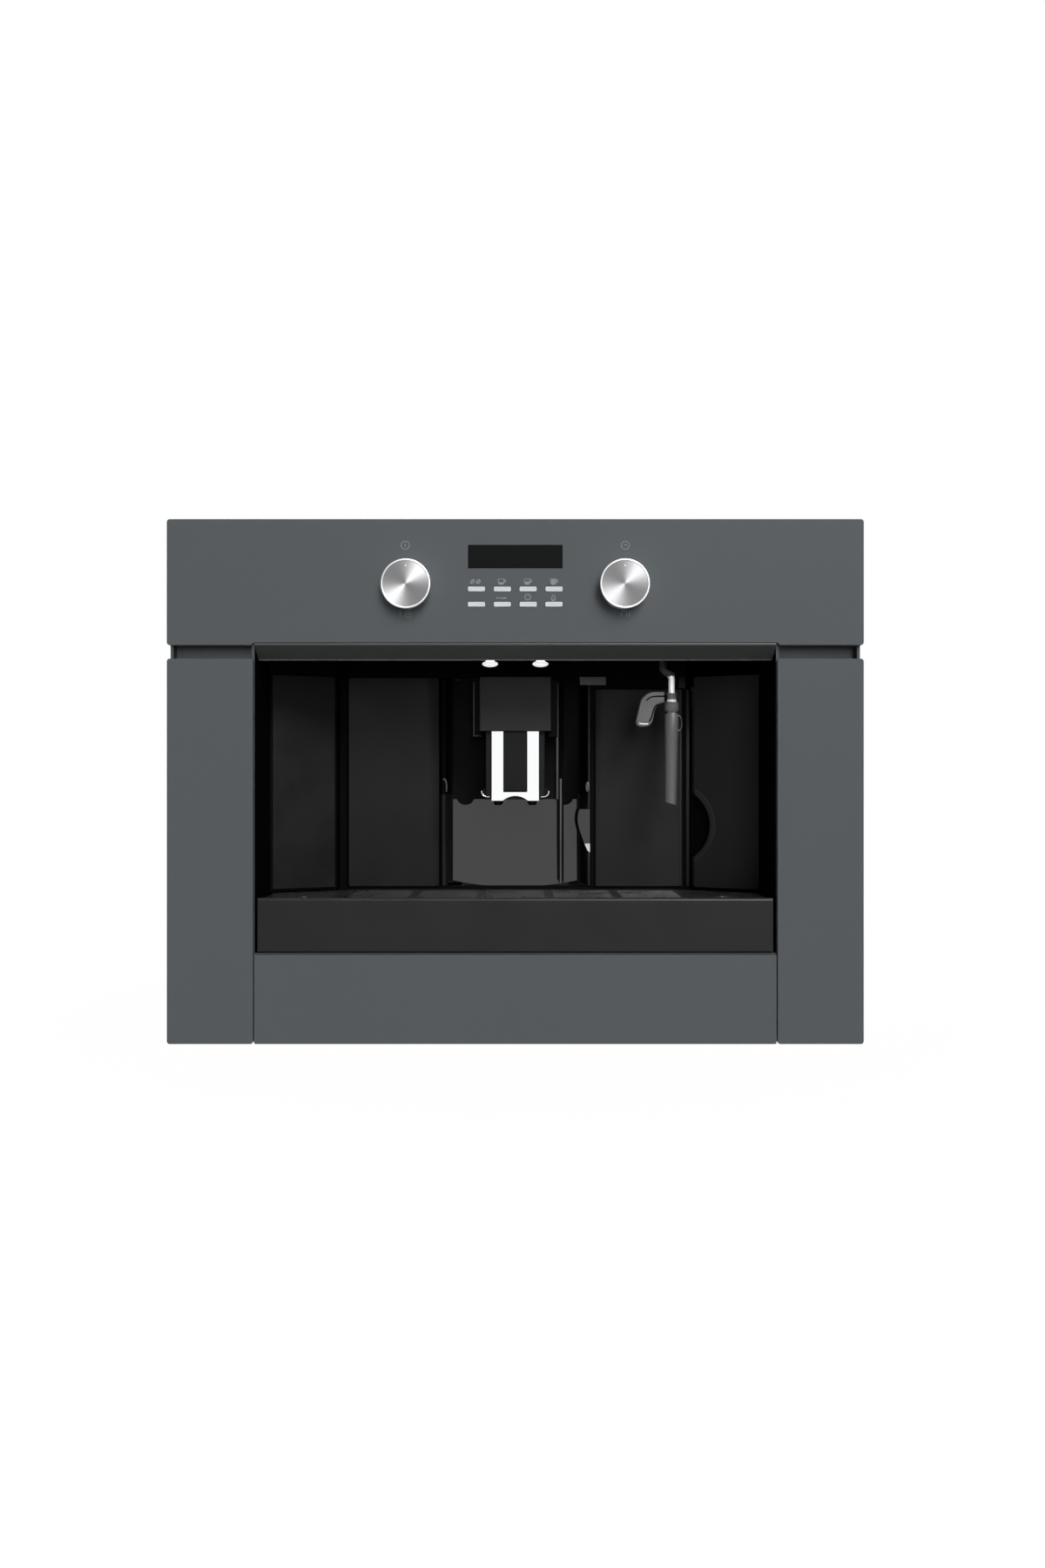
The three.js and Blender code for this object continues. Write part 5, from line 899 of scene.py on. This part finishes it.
cup = [(-2.6, 2.2), (-2.4, -0.6), (-1.4, -2.2), (1.4, -2.2), (2.2, -0.6), (2.4, 2.2)]
small_cup = [(0.7 * dx, 0.7 * dz - 0.8) for dx, dz in cup]
handle = [(2.4, 1.6), (3.7, 1.4), (3.6, -0.2), (2.1, -0.8)]
bean = [(-1.5, -0.9), (-1.6, 0.2), (-0.6, 1.5), (0.8, 1.8), (1.5, 1.1), (1.6, -0.2), (0.6, -1.5),
        (-0.8, -1.7)]
split = [(-1.0, -1.1), (0, 0.1), (1.0, 1.1)]
bar = [(0, -2.9), (0, 2.9)]
signs = []
for x, z, half_width, loops, lines in (
    (-0.0939, 0.4256, THIN, [ring(3.5)], [[(0, -1.6), (0, 1.6)]]),
    (-0.0982, 0.3676, THIN, [], [bar]),
    (-0.0916, 0.3676, THIN, [[(-2.4, 2.9), (-2.4, -2.9), (2.4, -2.9), (2.4, 2.9)], ring(1.2)], []),
    (0.0939, 0.4256, THIN, [ring(3.5)], [[(-1.2, 0.3), (0.2, 0.5), (1.8, -0.2)]]),
    (0.0928, 0.3676, THIN, [], [
        [(-2.6, -2.9), (-2.2, 0.4), (-0.8, 2.9), (0.8, 2.9), (2.2, 0.4), (2.6, -2.9)]]),
    (0.0974, 0.3676, THIN, [], [bar]),
    (-0.0365, 0.3946, BOLD, [bean], [split]),
    (-0.0316, 0.3946, BOLD, [bean], [split]),
    (-0.0120, 0.3946, BOLD, [cup], [handle, *levels(-1.6, -1.0)]),
    (0.0102, 0.3946, BOLD, [cup], [handle, *levels(-1.6, -0.9, -0.2)]),
    (0.0326, 0.3946, BOLD, [cup], [handle, *levels(-1.6, -0.8, 0, 0.8, 1.5)]),
    (-0.0120, 0.3806, BOLD, [], [
        [(-4.6, 0.1), (-1.5, 0.2), (0.5, -0.2), (4.6, 0)], [(1.2, -0.6), (2.6, 0.6), (4.2, -0.4)]]),
    (0.0107, 0.3814, BOLD, [ring(2.5)], []),
    (0.0107, 0.3814, THIN, [], [[(0, 1.2), (0, 0), (0.9, 0)]]),
    (0.0326, 0.3806, BOLD, [small_cup], [
        [(-1.1, -1.2), (1.1, -1.2)], [(-0.9, 1.8), (-0.5, 2.4), (-0.9, 3.0)],
        [(0.7, 1.8), (1.1, 2.4), (0.7, 3.0)]]),
):
    signs += [stroke(x, z, points, True, half_width) for points in loops]
    signs += [stroke(x, z, points, False, half_width) for points in lines]
symbols = joined_pieces(signs)
edit_all(symbols)
bpy.ops.transform.resize(value=(1, 0.25, 1), center_override=(0, glass_y, 0))
object_mode()
settle(symbols, "panel_symbols", print_grey, "machine", 60)

# ---- knobs
# Solid aluminium knobs, turned in fine rings on the face and polished at the rim, with a white
# dot sunk near the edge.
turned_rings, given, result = new_effect("turned_rings", {"Rings": 5200}, ("Height", "Tone"))
flat = new_node(turned_rings, "VectorMath", {1: (1, 0, 1)}, operation="MULTIPLY")
far = new_node(turned_rings, "VectorMath", operation="LENGTH")
grooves = new_node(turned_rings, "TexNoise", {"Detail": 2}, noise_dimensions="1D")
link(turned_rings, (given, "Position", flat, 0), (flat, "Vector", far, 0), (far, "Value", grooves, "W"),
     (given, "Rings", grooves, "Scale"), (grooves, "Fac", result, "Height"),
     (grooves, "Fac", result, "Tone"))


def turned_face(name, x, z, groove_turn, dark, light):
    """Aluminium turned about the axis through (x, z), between two greys."""
    material, tree, shader = new_material(
        name, {"Metallic": 1, "Anisotropic": 0.74, "Anisotropic Rotation": groove_turn})
    place = new_node(tree, "TexCoord")
    centre = new_node(tree, "Mapping", {"Location": (-x, 0, -z)})
    rings = new_node(tree, "Group", node_tree=turned_rings)
    tone = new_node(tree, "Mix", {MIX_A: paint(dark, dark, dark + 1),
                                  MIX_B: paint(light, light, light + 1)}, data_type="RGBA")
    round_axis = new_node(tree, "Tangent", direction_type="RADIAL", axis="Y")
    link(tree, (place, "Object", centre, "Vector"), (centre, "Vector", rings, "Position"),
         (rings, "Tone", tone, 0), (tone, MIX_RESULT, shader, "Base Color"),
         (round_axis, "Tangent", shader, "Tangent"))
    roughen(tree, shader, rings, 0.55, 0.61, 0.35, 0.000012)
    return material


rim_polish = new_finish("rim_polish", paint(216, 217, 218), 0.42, 0.5, grains=900, tone=0.97, dust=0)
dot_white = new_finish("dot_white", grey(250), 0.4, grains=900, tone=0.98, dust=0)
# In the photograph both fans stand at the same slant, though the camera sees the knobs from
# different sides. The right face's grooves are set 15 degrees askew for that, as no lathe does.
# Both knobs are the same aluminium; the right one's greys are set darker: painted shade.
for side, body, groove_turn, dark, light in (
    ("left", "selector_knob", 0.25, 121, 131), ("right", "steam_knob", 0.292, 112, 122),
):
    low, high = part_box(f"knob_{side}")
    x, z = (low.x + high.x) / 2, (low.z + high.z) / 2
    radius = (high.x - low.x) / 2
    middle = Vector((x, low.y, z))
    knob_face = turned_face(f"turned_face_{side}", x, z, groove_turn, dark, light)
    knob = turned_piece(
        [(0, 0.0004), (0.002, 0.0004), (radius - 0.0018, 0.0004),
         (radius - 0.0015, 0.0001), (radius - 0.0012, 0), (radius - 0.0005, 0.0001),
         (radius - 0.0001, 0.0005), (radius, 0.0011), (radius - 0.0016, 0.0158), (radius - 0.0020, 0.0166),
         (radius - 0.0030, 0.0170), (radius - 0.0030, 0.0200), (0.0030, 0.0200),
         (0.0030, high.y - low.y), (0, high.y - low.y)],
        middle, BACK, 128)
    settle(knob, f"{side}_knob_turned", knob_face, body, 40)
    knob.data.materials.append(rim_polish)
    for face in knob.data.polygons:
        away = math.hypot(face.center.x - x, face.center.z - z)
        face.material_index = 0 if away < radius - 0.0016 and face.center.y < low.y + 0.002 else 1
    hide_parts(f"knob_{side}")
    dot = turned_piece([(0, 0.0002), (0.0006, 0.0002), (0.0008, 0.0004), (0.0008, 0.0012), (0, 0.0012)],
                       Vector((x, low.y, z + radius - 0.006)), BACK, 32)
    settle(dot, f"{side}_knob_dot", dot_white, body, 40)

# ---- top of the casing
# Smoked bean hopper and its lid, a black lid over the ground-coffee funnel, and the fluted
# grind dial.
lid_black = new_finish("lid_black", paint(26, 26, 27), 0.45, specular=0.2, grains=1300,
                       height=0.000008, tone=0.88, dust=0.12)
dress(smoked_clear, "bean_hopper")
eased_copy("hopper_lid", smoked_clear, 0.0005, 3)
eased_copy("funnel_lid", lid_black, 0.0005, 3)
eased_copy("grind_dial", lid_black, 0.0004, 2)
dress(tub_black, "grounds_bin")

# ---- room
# White studio: a wide floor that the camera sees as white and that keeps the soft shadow. What
# mirrors the room sees it bright straight ahead and dim at the sides.
deselect()
bpy.ops.mesh.primitive_plane_add(size=24, location=(0, -1, -0.0006))
floor = bpy.context.object
floor.name = "studio_floor"
apply_place(floor)
floor_white, tree, matt = new_material(
    "floor_white", {"Base Color": (0.86, 0.86, 0.86, 1), "Roughness": 0.9, "Specular IOR Level": 0})
glow = new_node(tree, "Emission", {"Strength": 1.04})
seen = new_node(tree, "LightPath")
direct = new_node(tree, "Math", operation="MAXIMUM")
place = new_node(tree, "TexCoord")
away = new_node(tree, "VectorMath", operation="LENGTH")
share = new_node(tree, "MapRange", {"From Min": 0.4, "From Max": 1.2, "To Min": 0.94})
part = new_node(tree, "Math", operation="MULTIPLY")
mixed = new_node(tree, "MixShader")
link(tree, (seen, "Is Camera Ray", direct, 0), (seen, "Is Glossy Ray", direct, 1),
     (place, "Object", away, 0), (away, "Value", share, "Value"), (direct, "Value", part, 0),
     (share, "Result", part, 1), (part, "Value", mixed, "Fac"), (matt, "BSDF", mixed, 1),
     (glow, "Emission", mixed, 2), (mixed, "Shader", tree.nodes["Material Output"], "Surface"))
floor.data.materials.append(floor_white)

world = bpy.data.worlds.new("studio")
bpy.context.scene.world = world
world.use_nodes = True
tree = world.node_tree
studio_white = (1, 1, 1, 1)
ambient = set_inputs(tree.nodes["Background"], {"Color": studio_white, "Strength": 0.12})
white = new_node(tree, "Background", {"Color": studio_white})
mirror_image = new_node(tree, "Background", {"Color": studio_white})
heading = new_node(tree, "TexCoord")
apart = new_node(tree, "SeparateXYZ")
ahead = new_node(tree, "MapRange", {"From Min": -0.75, "From Max": -0.97, "To Min": 0.14, "To Max": 1.05},
                 interpolation_type="SMOOTHSTEP")
seen = new_node(tree, "LightPath")
behind = new_node(tree, "MixShader")
mixed = new_node(tree, "MixShader")
link(tree, (heading, "Generated", apart, "Vector"), (apart, "Y", ahead, "Value"),
     (ahead, "Result", mirror_image, "Strength"), (seen, "Is Glossy Ray", behind, "Fac"),
     (ambient, "Background", behind, 1), (mirror_image, "Background", behind, 2),
     (seen, "Is Camera Ray", mixed, "Fac"), (behind, "Shader", mixed, 1),
     (white, "Background", mixed, 2), (mixed, "Shader", tree.nodes["World Output"], "Surface"))


def sun(name, degrees, energy, place):
    """A sun that shines from the place to the middle of the footprint."""
    bpy.ops.object.light_add(type="SUN")
    lamp = bpy.context.object
    lamp.name = name
    lamp.data.angle = math.radians(degrees)
    lamp.data.energy = energy
    lamp.location = place
    lamp.rotation_euler = (-Vector(place)).to_track_quat("-Z", "Y").to_euler()
    return lamp


# Light from a tall softbox a little to the right, laid out as three soft suns, and a faint even
# fill from straight ahead. Mirrors see none of them. A lamp high at the right draws the bright fan
# on the knobs, and lights nothing matt.
for name, height, energy in (
    ("softbox_low", 5, 0.85), ("softbox_middle", 15, 0.8), ("softbox_top", 26, 0.75),
):
    rise = math.radians(height)
    sun(name, 18, energy, (0.15, -math.cos(rise), math.sin(rise))).visible_glossy = False
sun("even_fill", 30, 0.15, (0, -3, 0)).visible_glossy = False
sun("knob_glint", 20, 11, (0.34, -0.70, 0.58)).visible_diffuse = False

# ---- camera
# Straight before the front, 1.1 m from the glass, level, at half the front's height. The lens and
# the shifts bring the front to the photograph's size and place.
distance = 1.1
picture_width, picture_height = 1200, 1800  # pixels
middle_px, middle_py = 591.7, 897.0  # the pixel of the glass that the camera stands straight before
seen_height = 1.3376  # how much of the plane of the glass the picture's height shows
sensor = 36
bpy.ops.object.camera_add(location=(0, glass_y - distance, 0.2242), rotation=(math.pi / 2, 0, 0))
camera = bpy.context.object
camera.data.sensor_width = sensor
camera.data.lens = sensor * distance / seen_height
camera.data.shift_x = (picture_width / 2 - middle_px) / picture_height
camera.data.shift_y = (middle_py - picture_height / 2) / picture_height
bpy.context.scene.camera = camera
bpy.context.scene.view_settings.view_transform = "Standard"
